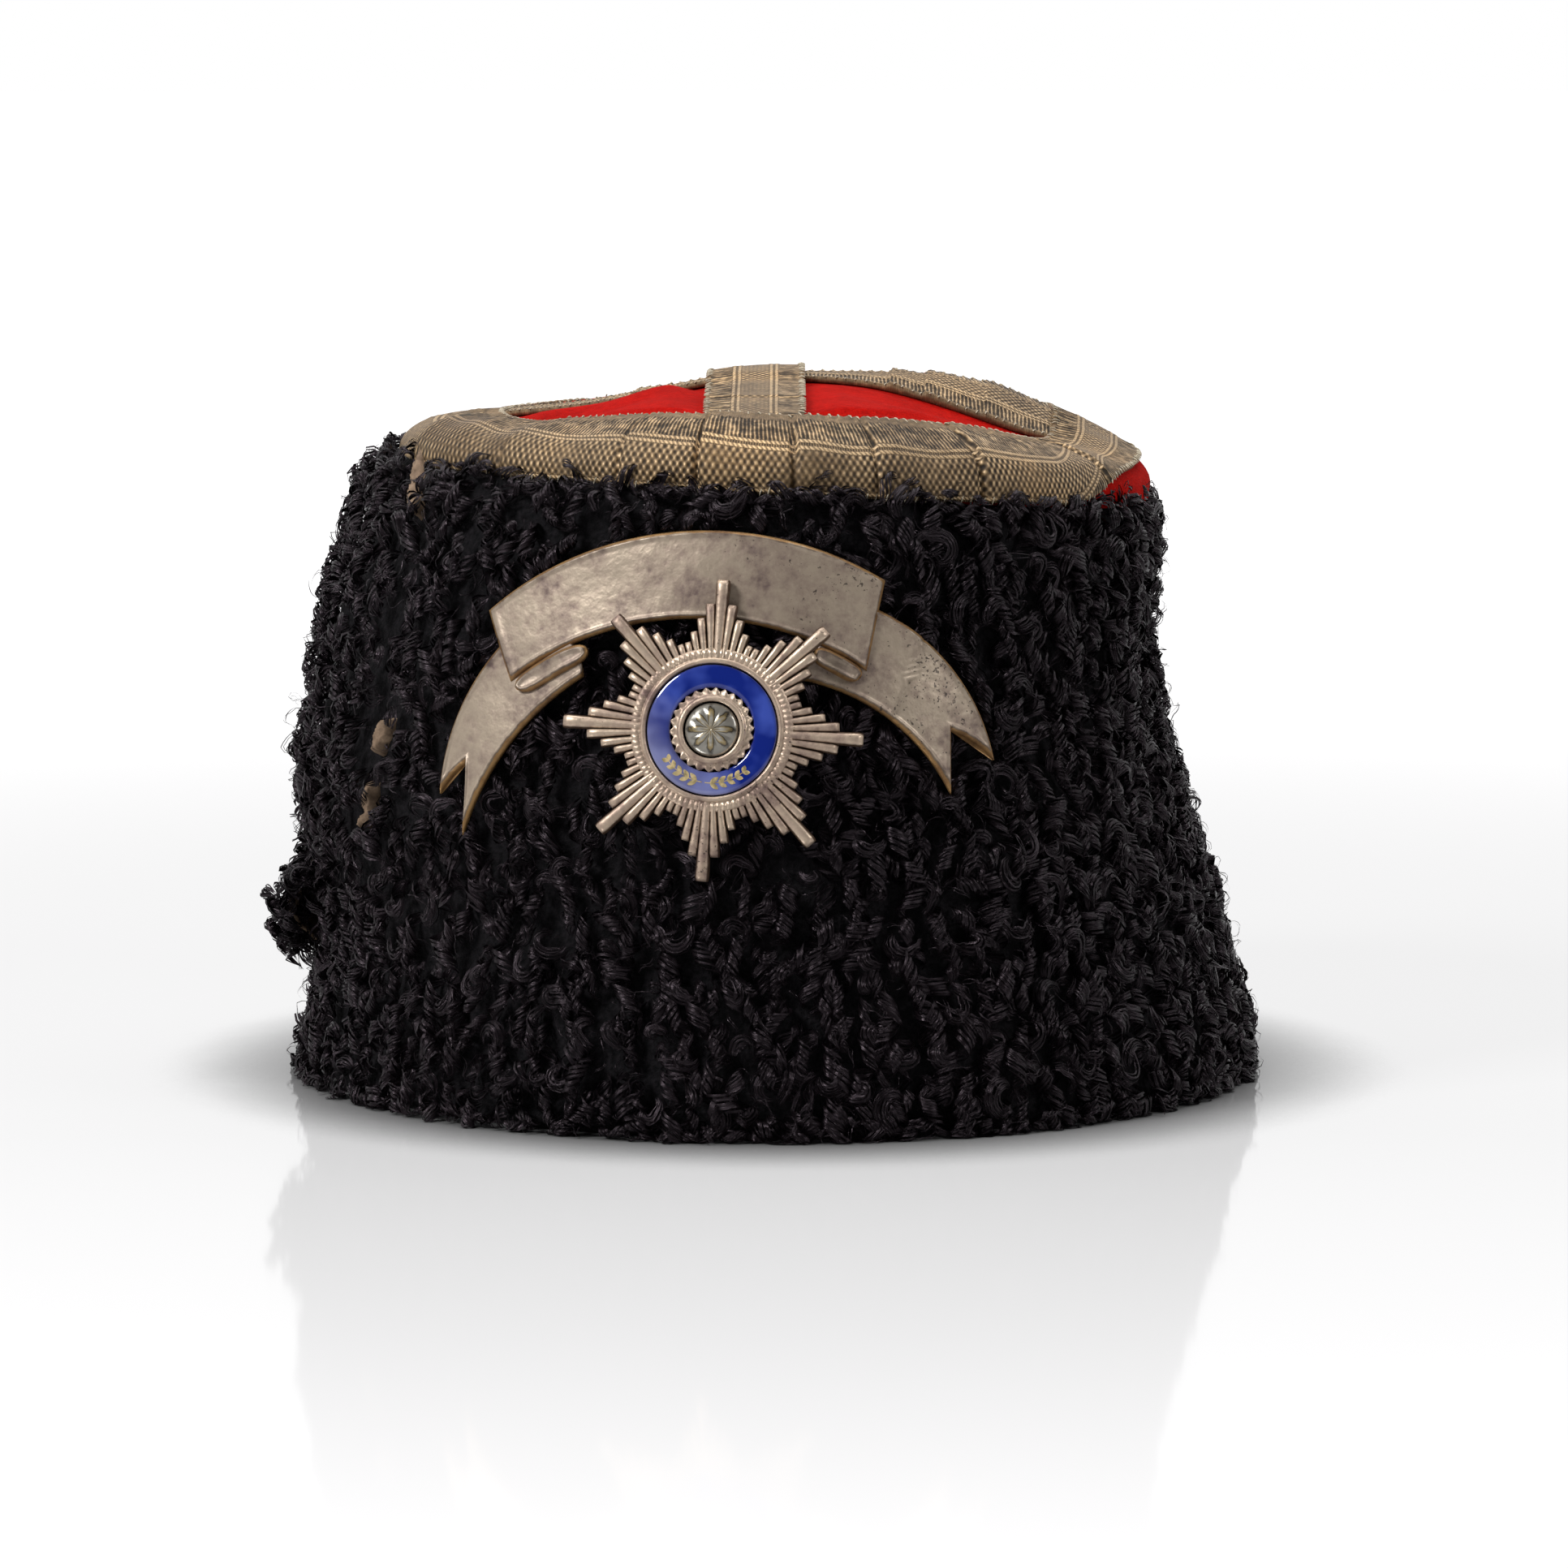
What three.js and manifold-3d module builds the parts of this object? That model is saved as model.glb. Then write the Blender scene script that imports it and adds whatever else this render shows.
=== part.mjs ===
// Papakha: a tall lambskin cap with a scarlet cloth crown, woven metal braid,
// and a ribbon scroll and an eight-pointed star pinned to its front.
// Millimetres, +Z up. The origin is on the ground under the middle of the hat.
// The badges face -Y, and +X is to the right of someone who looks at them.

import * as THREE from 'three'
import { mergeVertices } from 'three/addons/utils/BufferGeometryUtils.js'
import Module from 'manifold-3d'

const wasm = await Module()
wasm.setup()

// Driving dimensions of the fur body
const baseWidth = 205
const baseDepth = 228
const furHeight = 129
const furEdgeTilt = 4
const hemWall = 11
const upperWall = 10
const lockRise = 3.8
const lockWidth = 16
const lockLength = 21
const lockRows = 17

// The open seam at the left and the skin that lifts beside it
const seamWidth = 2.6
const seamDepth = 6
const flapReach = 8
const flapHeight = 20
const flapFoot = 26
const flapHinge = { foot: 171, top: 178 }
const flapEdge = { foot: 186, top: 196 }

// Driving dimensions of the cloth crown
const crestHeight = 144.6
const crownInset = 5.2
const crownOverhang = 4.4
const crownSeatDrop = 4
const clothThickness = 2
const clothPuff = 1.5
const puffMargin = 9
const crownSides = 34

// The crown's side wall that shows under the braid at the hat's right end
const cuffHeight = 5
const cuffStart = 0.75

// Woven braid
const braidWidth = 20
const braidThickness = 1.1
const braidDrop = 0.8
const pleatRise = 0.9
const stripOffset = -4
const stripSlant = -0.12
const bridgeTop = 0.64
const bridgeFoot = 1.05

// Scroll, as it is seen from the front
const scrollMiddle = -12
const scrollTop = 118.8
const scrollWidth = 110.6
const scrollThickness = 1
const scrollEdgeRise = 0.45
const scrollLayers = { fork: -0.16, tail: 0, panel: 0.4, fold: 0.68 }
const foldRounding = 0.3
const scrollStandoff = -0.8

// Star, as it lies in its own plane
const starMiddle = -11.7
const starHeight = 79.8
const starReach = 29.6
const starStandoff = 2
const starTurn = THREE.MathUtils.degToRad(-3)
const pointCount = 8
const barRise = 0.8
const barDome = 1.2
const plateRadius = 16
const plateThickness = 1
const rimRise = 1.6
const rimLipWidth = 0.5
const rimLipSlope = 0.3
const enamelOuter = 12.8
const enamelInner = 8.3
const enamelThickness = 1.1
const collarTeeth = 10
const collarToothDepth = 0.9
const collarInner = 5.6
const collarRise = 1.5
const bezelWall = 1.1
const bezelLip = 0.6
const medallionEdge = 0.6
const medallionDome = 1.6

// Hidden posts that pass into the fur behind the badges
const postRadius = 1.5
const postLength = 6

// Clearances
const restGap = 0.3
const postGap = 0.3
const cutMargin = 0.5

// How far a cut for a piece clears the space in front of it
const cutReach = 10

const FULL_TURN = 2 * Math.PI

// The side of the hat. up is a share of the fur edge's height, and the other
// columns are shares of half the base width or half the base depth.
const sideRows = [
  { up: 0.0, left: 1.0, right: 1.0, front: 1.0, back: 1.0 },
  { up: 0.1, left: 0.972, right: 0.988, front: 0.99, back: 0.985 },
  { up: 0.21, left: 0.95, right: 0.948, front: 0.965, back: 0.965 },
  { up: 0.31, left: 0.968, right: 0.918, front: 0.945, back: 0.94 },
  { up: 0.41, left: 0.99, right: 0.878, front: 0.925, back: 0.92 },
  { up: 0.51, left: 0.995, right: 0.842, front: 0.905, back: 0.9 },
  { up: 0.62, left: 0.965, right: 0.806, front: 0.88, back: 0.88 },
  { up: 0.74, left: 0.94, right: 0.786, front: 0.86, back: 0.86 },
  { up: 0.85, left: 0.9, right: 0.796, front: 0.84, back: 0.84 },
  { up: 0.93, left: 0.872, right: 0.798, front: 0.825, back: 0.825 },
  { up: 1.0, left: 0.8, right: 0.775, front: 0.802, back: 0.802 },
]

// The waves that swing the locks to the side. swing is a share of a lock's
// width, length a share of its length, and shift the step between strips.
const lockWaves = [
  { swing: 0.34, length: 1.25, shift: 2.1 },
  { swing: 0.14, length: 0.735, shift: 4.3 },
]

// The crown from its seat to the crest. out is a share of the way from the
// crest to the seat, and the other columns are shares of the crown's rise.
const crownRows = [
  { out: 1.0, right: 0.0, front: 0.0, left: 0.0, back: 0.0 },
  { out: 1.0, right: 0.14, front: 0.26, left: 0.14, back: 0.2 },
  { out: 0.975, right: 0.27, front: 0.44, left: 0.25, back: 0.32 },
  { out: 0.92, right: 0.39, front: 0.58, left: 0.33, back: 0.42 },
  { out: 0.84, right: 0.54, front: 0.71, left: 0.4, back: 0.5 },
  { out: 0.72, right: 0.72, front: 0.8, left: 0.48, back: 0.6 },
  { out: 0.55, right: 0.92, front: 0.87, left: 0.56, back: 0.73 },
  { out: 0.34, right: 0.99, front: 0.94, left: 0.74, back: 0.88 },
  { out: 0.14, right: 1.0, front: 0.98, left: 0.94, back: 0.98 },
  { out: 0.0, right: 1.0, front: 1.0, left: 1.0, back: 1.0 },
]

// Dents and folds of the crown's cloth. Places are shares of the half sizes
// of the crown, spreads are shares of them too, and lift is in clothPuff.
const crownFolds = [
  { across: 0.42, along: -0.34, spanAcross: 0.3, spanAlong: 0.16, lift: -1.3 },
  { across: -0.3, along: -0.2, spanAcross: 0.16, spanAlong: 0.14, lift: 0.9 },
  { across: -0.55, along: -0.3, spanAcross: 0.2, spanAlong: 0.12, lift: -0.7 },
  { across: 0.35, along: 0.45, spanAcross: 0.22, spanAlong: 0.2, lift: 0.5 },
  { across: -0.4, along: 0.5, spanAcross: 0.2, spanAlong: 0.18, lift: -0.6 },
]

// Pleats of the rim braid: the turn at which each starts, in degrees, the
// turn that it takes to flatten out, and its height as a share of pleatRise.
const rimPleats = [
  { start: 262, run: 22, height: 1.3 },
  { start: 247, run: 8, height: 0.6 },
  { start: 281, run: 15, height: 0.7 },
  { start: 299, run: 18, height: 0.9 },
  { start: 330, run: 14, height: 0.6 },
  { start: 8, run: 16, height: 0.7 },
  { start: 41, run: 22, height: 0.9 },
  { start: 88, run: 20, height: 1.0 },
  { start: 133, run: 24, height: 0.8 },
  { start: 171, run: 16, height: 0.7 },
  { start: 203, run: 18, height: 0.9 },
  { start: 226, run: 12, height: 0.7 },
]

// Middle line of the open seam: up is a share of the fur edge's height and
// turn is the angle round the hat in degrees.
const seamRows = [
  { up: 1.06, turn: 196 },
  { up: 0.84, turn: 205 },
  { up: 0.64, turn: 211 },
  { up: 0.44, turn: 207 },
  { up: 0.26, turn: 200 },
]

// The scroll's parts in the front view, each between two arcs. Middles, from
// the scroll's middle and top, and radii are shares of scrollWidth, and from
// and to are degrees.
const scrollArcs = {
  panel: {
    outer: { across: -0.007, up: -0.589, radius: 0.589, from: 132.3, to: 58 },
    inner: { across: -0.027, up: -0.681, radius: 0.526, from: 129.7, to: 55.4 },
  },
  leftFold: {
    outer: { across: -0.027, up: -0.681, radius: 0.524, from: 130, to: 112.5 },
    inner: { across: -0.027, up: -0.681, radius: 0.488, from: 129, to: 113 },
  },
  rightFold: {
    outer: { across: -0.027, up: -0.681, radius: 0.526, from: 66.5, to: 55.5 },
    inner: { across: -0.027, up: -0.681, radius: 0.492, from: 66, to: 56 },
  },
  leftTail: {
    outer: { across: -0.044, up: -0.513, radius: 0.453, from: 126, to: 173.5 },
    inner: { across: 0.061, up: -0.712, radius: 0.538, from: 119, to: 160.5 },
  },
  rightTail: {
    outer: { across: 0.118, up: -0.49, radius: 0.392, from: 72, to: 14.5 },
    inner: { across: 0.08, up: -0.637, radius: 0.383, from: 79, to: 29 },
  },
}

// A tail's fork. root, heel and notch are shares of the tail's length, and
// the others are shares of the way across it.
const tailFork = {
  root: 0.76,
  heel: 0.66,
  notch: 0.82,
  heelAcross: 0.6,
  bendAcross: 0.42,
  tipAcross: 0.95,
}

// The raised edges of a ribbon, from one edge to the other
const edgeProfile = [
  { across: 0, rise: 0.3 },
  { across: 0.06, rise: 1 },
  { across: 0.13, rise: 0 },
  { across: 0.87, rise: 0 },
  { across: 0.94, rise: 1 },
  { across: 1, rise: 0.3 },
]
const flatProfile = [
  { across: 0, rise: 0 },
  { across: 1, rise: 0 },
]

// One bar of the star across: side is a share of the angle between bars
const barProfile = [
  { side: -0.47, height: 0 },
  { side: 0, height: 1 },
  { side: 0.47, height: 0 },
]

// The lengths of a point's bars as shares of starReach, from its middle out
const barRows = [
  { reach: 1.0 },
  { reach: 0.84 },
  { reach: 0.75 },
  { reach: 0.67 },
  { reach: 0.61 },
]
const barsBeside = barRows.length - 1

// Small tools for meshes

function mix(a, b, share) {
  return a + (b - a) * share
}

function clamp01(value) {
  return Math.min(1, Math.max(0, value))
}

function smooth(value) {
  const share = clamp01(value)
  return share * share * (3 - 2 * share)
}

// The row of a table at a value of its first column, worked out between rows
function rowAt(rows, key, value) {
  const rising = rows[rows.length - 1][key] > rows[0][key]
  let upper = 1
  while (upper < rows.length - 1 && (rising ? rows[upper][key] < value : rows[upper][key] > value)) {
    upper += 1
  }
  const a = rows[upper - 1]
  const b = rows[upper]
  const share = clamp01((value - a[key]) / (b[key] - a[key]))
  const result = {}
  for (const column of Object.keys(a)) {
    result[column] = mix(a[column], b[column], share)
  }
  return result
}

function signedVolume(positions, index) {
  let total = 0
  const corner = [new THREE.Vector3(), new THREE.Vector3(), new THREE.Vector3()]
  for (let i = 0; i < index.length; i += 3) {
    for (let k = 0; k < 3; k += 1) {
      corner[k].fromArray(positions, index[i + k] * 3)
    }
    total += corner[0].dot(corner[1].clone().cross(corner[2])) / 6
  }
  return total
}

// A geometry of points and triangles with its faces turned outwards
function outwardGeometry(positions, triangles) {
  const index = triangles.flat()
  if (signedVolume(positions, index) < 0) {
    for (let i = 0; i < index.length; i += 3) {
      const kept = index[i + 1]
      index[i + 1] = index[i + 2]
      index[i + 2] = kept
    }
  }
  const geometry = new THREE.BufferGeometry()
  geometry.setAttribute('position', new THREE.Float32BufferAttribute(positions, 3))
  geometry.setIndex(index)
  return geometry
}

// A closed body from sections round an axis. Each section is a loop of
// points, and with poles its first and last points are shared by all.
function ringSolid(sections, poles = false) {
  const count = sections[0].length
  const positions = sections.flat().flatMap((point) => point.toArray())
  const place = (i, k) => {
    const shared = poles && (k === 0 || k === count - 1)
    return (shared ? 0 : (i % sections.length) * count) + k
  }
  const triangles = []
  const steps = poles ? count - 1 : count
  for (let i = 0; i < sections.length; i += 1) {
    for (let k = 0; k < steps; k += 1) {
      const next = (k + 1) % count
      const corners = [place(i, k), place(i + 1, k), place(i + 1, next), place(i, next)]
      if (corners[0] !== corners[1]) {
        triangles.push([corners[0], corners[1], corners[2]])
      }
      if (corners[2] !== corners[3]) {
        triangles.push([corners[0], corners[2], corners[3]])
      }
    }
  }
  return outwardGeometry(positions, triangles)
}

// A closed body from loops set one after another, with flat fans as its ends
function loftSolid(loops) {
  const count = loops[0].length
  const positions = loops.flat().flatMap((point) => point.toArray())
  const triangles = []
  for (let i = 0; i < loops.length - 1; i += 1) {
    for (let k = 0; k < count; k += 1) {
      const next = (k + 1) % count
      const here = i * count
      const there = here + count
      triangles.push([here + k, here + next, there + next])
      triangles.push([here + k, there + next, there + k])
    }
  }
  for (const [loop, turned] of [[0, true], [loops.length - 1, false]]) {
    const middle = positions.length / 3
    const centre = new THREE.Vector3()
    loops[loop].forEach((point) => centre.addScaledVector(point, 1 / count))
    positions.push(...centre.toArray())
    for (let k = 0; k < count; k += 1) {
      const a = loop * count + k
      const b = loop * count + (k + 1) % count
      triangles.push(turned ? [middle, b, a] : [middle, a, b])
    }
  }
  return outwardGeometry(positions, triangles)
}

function toManifold(geometry) {
  const bare = geometry.clone()
  bare.deleteAttribute('normal')
  bare.deleteAttribute('uv')
  const merged = mergeVertices(bare, 1e-5)
  const mesh = new wasm.Mesh({
    numProp: 3,
    vertProperties: new Float32Array(merged.attributes.position.array),
    triVerts: new Uint32Array(merged.index.array),
  })
  return new wasm.Manifold(mesh)
}

function fromManifold(solid) {
  const mesh = solid.getMesh()
  const geometry = new THREE.BufferGeometry()
  geometry.setAttribute('position', new THREE.BufferAttribute(mesh.vertProperties, 3))
  geometry.setIndex(new THREE.BufferAttribute(mesh.triVerts, 1))
  return geometry
}

// The fur body

function edgeHeight(turn) {
  return furHeight - furEdgeTilt * Math.cos(turn)
}

// A point on the fur's outer surface, moved inwards by inset
function sidePoint(turn, up, inset = 0) {
  const row = rowAt(sideRows, 'up', up)
  const cosine = Math.cos(turn)
  const sine = Math.sin(turn)
  const across = (baseWidth / 2) * (cosine > 0 ? row.right : row.left) - inset
  const along = (baseDepth / 2) * (sine > 0 ? row.back : row.front) - inset
  return new THREE.Vector3(across * cosine, along * sine, up * edgeHeight(turn))
}

function sideFrame(turn, up) {
  const step = 0.02
  const point = sidePoint(turn, up)
  const round = sidePoint(turn + step, up).sub(sidePoint(turn - step, up)).normalize()
  const rise = sidePoint(turn, up + step).sub(sidePoint(turn, up - step)).normalize()
  const out = round.clone().cross(rise).normalize()
  return { point, round, rise, out }
}

// How far the locks of a strip wave to the side, as a share of their width,
// and how much they swell, at a height on the hat
function lockWave(strip, up) {
  return lockWaves.reduce((sum, { swing, length, shift }) => {
    const turns = (furHeight * up) / (lockLength * length)
    return sum + swing * Math.sin(FULL_TURN * turns + strip * shift)
  }, 0)
}

function lockSwell(strip, up) {
  const least = 0.3
  const shift = 0.37
  const turns = (furHeight * up) / lockLength
  return mix(least, 1, Math.abs(Math.sin(Math.PI * (turns + strip * shift))))
}

// The hollow wall. Its outer skin is strips of curled locks side by side: the
// columns of points are crests and valleys by turns, and each crest waves to
// the side and swells where a lock is full.
function furWall() {
  const strips = Math.round((Math.PI * (baseWidth + baseDepth)) / 2 / lockWidth)
  const innerUps = [0.93, 0.5, 0]
  const sections = []
  for (let column = 0; column < strips * 2; column += 1) {
    const strip = Math.floor(column / 2)
    const next = (strip + 1) % strips
    const crest = column % 2 === 0
    const plainTurn = (column / (strips * 2)) * FULL_TURN
    const outer = []
    for (let row = 0; row <= lockRows; row += 1) {
      const up = row / lockRows
      const wave = crest ? lockWave(strip, up) : (lockWave(strip, up) + lockWave(next, up)) / 2
      const swell = crest ? lockSwell(strip, up) : 0
      outer.push(sidePoint(plainTurn + (wave * FULL_TURN) / strips, up, lockRise * (1 - swell)))
    }
    const lip = sidePoint(plainTurn, 1, mix(lockRise, upperWall, 0.5))
    const inner = innerUps.map((up) => sidePoint(plainTurn, up, mix(hemWall, upperWall, up)))
    sections.push([...outer, lip, ...inner])
  }
  return toManifold(ringSolid(sections))
}

// A wedge along the seam's line, from reach outside the fur to depth in it
function seamWedge(turnBefore, turnAfter, reach, depth) {
  const loops = seamRows.map((row) => {
    const before = sideFrame(THREE.MathUtils.degToRad(row.turn) + turnBefore, row.up)
    const after = sideFrame(THREE.MathUtils.degToRad(row.turn) + turnAfter, row.up)
    return [
      before.point.clone().addScaledVector(before.out, reach),
      before.point.clone().addScaledVector(before.out, -depth),
      after.point.clone().addScaledVector(after.out, -depth),
      after.point.clone().addScaledVector(after.out, reach),
    ]
  })
  return toManifold(loftSolid(loops))
}

// The lifted corner of skin at the lower end of the seam
function seamFlap() {
  const sections = 6
  const footLift = 0.12
  const topLift = 0.93
  const rootDepth = lockRise * 1.6
  const loops = []
  for (let i = 0; i <= sections; i += 1) {
    const share = i / sections
    const up = (flapFoot + flapHeight * share) / furHeight
    const lift = flapReach * Math.sin(Math.PI * mix(footLift, topLift, share)) * mix(1, 0.8, share)
    const hinge = sideFrame(THREE.MathUtils.degToRad(mix(flapHinge.foot, flapHinge.top, share)), up)
    const edge = sideFrame(THREE.MathUtils.degToRad(mix(flapEdge.foot, flapEdge.top, share)), up)
    loops.push([
      hinge.point.clone().addScaledVector(hinge.out, -rootDepth),
      hinge.point.clone().addScaledVector(hinge.out, lift * 0.2 - lockRise * 0.4),
      edge.point.clone().addScaledVector(edge.out, lift),
      edge.point.clone().addScaledVector(edge.out, lift * 0.25 - rootDepth),
    ])
  }
  return toManifold(loftSolid(loops))
}

// The cloth crown

function crownWeights(turn) {
  const cosine = Math.cos(turn)
  const sine = Math.sin(turn)
  return {
    right: Math.max(0, cosine) ** 2,
    left: Math.max(0, -cosine) ** 2,
    back: Math.max(0, sine) ** 2,
    front: Math.max(0, -sine) ** 2,
  }
}

function seatPoint(turn) {
  const overhang = crownOverhang * Math.max(0, Math.cos(turn)) ** 2
  const seat = sidePoint(turn, 1, crownInset - overhang)
  seat.z = edgeHeight(turn) - crownSeatDrop
  return seat
}

// The crown's meridian at a turn, a curve from the seat to the crest
function crownMeridian(turn) {
  const seat = seatPoint(turn)
  const weights = crownWeights(turn)
  const points = crownRows.map((row) => {
    const rise = ['right', 'front', 'left', 'back'].reduce((sum, name) => sum + weights[name] * row[name], 0)
    return new THREE.Vector3(seat.x * row.out, seat.y * row.out, mix(seat.z, crestHeight, rise))
  })
  return new THREE.CatmullRomCurve3(points, false, 'centripetal')
}

// How far the lower edge of the rim braid lies above the crown's seat
function braidFoot(turn) {
  const shown = smooth((Math.cos(turn) - cuffStart) / (1 - cuffStart))
  return crownSeatDrop - braidDrop + cuffHeight * shown
}

// A place on the crown at a length from its seat, with its outward direction
function crownPlace(turn, meridian, distance) {
  const share = clamp01(distance / meridian.getLength())
  const point = meridian.getPointAt(share)
  const tangent = meridian.getTangentAt(share)
  const outward = new THREE.Vector3(point.x, point.y, 0)
  if (outward.lengthSq() < 1e-6) {
    return { point, out: new THREE.Vector3(0, 0, 1) }
  }
  outward.normalize()
  const inward = -tangent.dot(outward)
  const out = outward.multiplyScalar(tangent.z).add(new THREE.Vector3(0, 0, inward))
  return { point, out: out.normalize() }
}

// How much the cloth swells or sinks between the braid strips at a place
function clothLift(x, y) {
  const halfAcross = (baseWidth / 2) * sideRows[sideRows.length - 1].right
  const halfAlong = (baseDepth / 2) * sideRows[sideRows.length - 1].front
  const fromLong = Math.abs(x - stripOffset) - braidWidth / 2
  const fromCross = Math.abs(y - stripSlant * x) - braidWidth / 2
  const free = smooth(fromLong / puffMargin) * smooth(fromCross / puffMargin)
  let lift = 1
  for (const fold of crownFolds) {
    const across = (x / halfAcross - fold.across) / fold.spanAcross
    const along = (y / halfAlong - fold.along) / fold.spanAlong
    lift += fold.lift * Math.exp(-(across * across) - along * along)
  }
  return clothPuff * free * lift
}

function crownStations(turn, length) {
  const foot = braidFoot(turn)
  const stations = [0, foot, foot + braidWidth / 2, foot + braidWidth]
  const domeSteps = 4
  for (let i = 1; i <= domeSteps; i += 1) {
    stations.push(mix(foot + braidWidth, length, i / domeSteps))
  }
  return stations
}

function crownSection(turn, offset, bulging) {
  const meridian = crownMeridian(turn)
  const length = meridian.getLength()
  const edge = braidFoot(turn) + braidWidth
  return crownStations(turn, length).map((distance) => {
    const { point, out } = crownPlace(turn, meridian, distance)
    const inside = smooth((distance - edge) / puffMargin)
    point.addScaledVector(out, offset)
    point.z += bulging ? clothLift(point.x, point.y) * inside : 0
    return point
  })
}

function crownCloth() {
  const innerStations = [0, 2, 4, 6, 7]
  const sections = []
  for (let i = 0; i < crownSides; i += 1) {
    const turn = (i / crownSides) * FULL_TURN
    const outer = crownSection(turn, 0, true).reverse()
    const lining = crownSection(turn, -clothThickness, true)
    sections.push([...outer, ...innerStations.map((station) => lining[station])])
  }
  return toManifold(ringSolid(sections, true))
}

// What the crown and its rim braid take up, with a clearance all round
function crownEnvelope() {
  const tallest = Math.max(...rimPleats.map((pleat) => pleat.height))
  const cover = restGap + braidThickness + pleatRise * tallest + cutMargin
  const sections = []
  for (let i = 0; i < crownSides; i += 1) {
    const turn = (i / crownSides) * FULL_TURN
    const outer = crownSection(turn, cover, false).reverse()
    outer[0].set(0, 0, crestHeight + cover)
    const foot = seatPoint(turn)
    const edge = foot.clone().setZ(0).normalize()
    foot.z -= restGap
    const brim = foot.clone().addScaledVector(edge, restGap)
    sections.push([...outer, brim, new THREE.Vector3(0, 0, foot.z)])
  }
  sections.forEach((section) => section[section.length - 1].copy(sections[0][sections[0].length - 1]))
  return toManifold(ringSolid(sections, true))
}

// The height of the bare crown over a place on its top
function crownTop(x, y) {
  const turn = Math.atan2(y, x)
  const meridian = crownMeridian(turn)
  const radius = Math.hypot(x, y)
  const halvings = 22
  let low = 0
  let high = 1
  for (let i = 0; i < halvings; i += 1) {
    const share = (low + high) / 2
    const point = meridian.getPoint(share)
    if (Math.hypot(point.x, point.y) > radius) {
      low = share
    } else {
      high = share
    }
  }
  return meridian.getPoint((low + high) / 2).z
}

// Braid

function pleatHeight(turn) {
  const degrees = THREE.MathUtils.radToDeg(turn)
  let height = 0
  for (const pleat of rimPleats) {
    const past = (((degrees - pleat.start) % 360) + 360) % 360
    if (past < pleat.run) {
      height = Math.max(height, pleat.height * (1 - past / pleat.run))
    }
  }
  return pleatRise * height
}

function rimBraid() {
  const around = 72
  const rows = 2
  const fullest = 0.35
  const sections = []
  for (let i = 0; i < around; i += 1) {
    const turn = (i / around) * FULL_TURN
    const meridian = crownMeridian(turn)
    const inner = []
    const outer = []
    for (let k = 0; k <= rows; k += 1) {
      const share = k / rows
      const distance = braidFoot(turn) + braidWidth * share
      const { point, out } = crownPlace(turn, meridian, distance)
      const fullness = 0.55 + 0.45 * Math.cos(Math.PI * (share - fullest))
      inner.push(point.clone().addScaledVector(out, restGap))
      outer.push(point.clone().addScaledVector(out, restGap + braidThickness + pleatHeight(turn) * fullness))
    }
    sections.push([...outer, ...inner.reverse()])
  }
  return ringSolid(sections)
}

// How far from the crest a strip runs before it meets the rim braid
function stripReach(turn) {
  const meridian = crownMeridian(turn)
  const edge = meridian.getPointAt((braidFoot(turn) + braidWidth) / meridian.getLength())
  return Math.hypot(edge.x, edge.y)
}

// A strip over the crown's top from one side of the rim braid to the other.
// Its middle line is origin + s * direction, and hump lifts it over another.
function crownStrip(origin, direction, margin, hump) {
  const ways = 2
  const stride = 0.25
  const side = new THREE.Vector2(-direction.y, direction.x)
  const place = (s, w) => origin.clone().addScaledVector(direction, s).addScaledVector(side, w)
  const end = (sign) => {
    let reach = Infinity
    for (let k = 0; k <= ways; k += 1) {
      const w = (k / ways - 0.5) * braidWidth
      let s = 0
      while (place(sign * s, w).length() < stripReach(place(sign * s, w).angle()) - restGap - margin) {
        s += stride
      }
      reach = Math.min(reach, s)
    }
    return reach
  }
  const before = end(-1)
  const after = end(1)
  const half = braidWidth / 2 + margin
  const outerSteps = 3
  const top = braidWidth * bridgeTop
  const foot = braidWidth * bridgeFoot
  const stations = [-foot, -top, 0, top, foot]
  for (let i = 1; i <= outerSteps; i += 1) {
    stations.unshift(mix(-foot, -before - margin, i / outerSteps))
    stations.push(mix(foot, after + margin, i / outerSteps))
  }
  const loops = []
  for (const s of stations) {
    const bridge = Math.abs(s) <= top ? hump : 0
    const under = []
    const over = []
    for (let k = 0; k <= ways; k += 1) {
      const spot = place(s, (k / ways - 0.5) * 2 * half)
      const rest = crownTop(spot.x, spot.y) + restGap + bridge
      const cleared = margin > 0 ? cutReach : 0
      under.push(new THREE.Vector3(spot.x, spot.y, rest - margin))
      over.push(new THREE.Vector3(spot.x, spot.y, rest + braidThickness + cleared))
    }
    loops.push([...over, ...under.reverse()])
  }
  return loftSolid(loops)
}

const longStrip = {
  origin: new THREE.Vector2(stripOffset, 0),
  direction: new THREE.Vector2(0, 1),
  hump: braidThickness + restGap,
}
const crossStrip = {
  origin: new THREE.Vector2(0, 0),
  direction: new THREE.Vector2(1, stripSlant).normalize(),
  hump: 0,
}

function stripGeometry(strip) {
  return crownStrip(strip.origin, strip.direction, 0, strip.hump)
}

function stripClearance(strip) {
  return toManifold(crownStrip(strip.origin, strip.direction, restGap, strip.hump))
}

// The badges

// The fur's front surface under a place of the front view
function frontDepth(x, z) {
  const up = clamp01(z / furHeight)
  const row = rowAt(sideRows, 'up', up)
  const halfWidth = (baseWidth / 2) * (x > 0 ? row.right : row.left)
  const halfDepth = (baseDepth / 2) * row.front
  return -halfDepth * Math.sqrt(Math.max(0, 1 - (x / halfWidth) ** 2))
}

function frontOut(x, z) {
  const step = 0.5
  const climb = 4
  const across = new THREE.Vector3(2 * step, frontDepth(x + step, z) - frontDepth(x - step, z), 0)
  const rise = new THREE.Vector3(0, frontDepth(x, z + climb) - frontDepth(x, z - climb), 2 * climb)
  return across.cross(rise).normalize()
}

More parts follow.
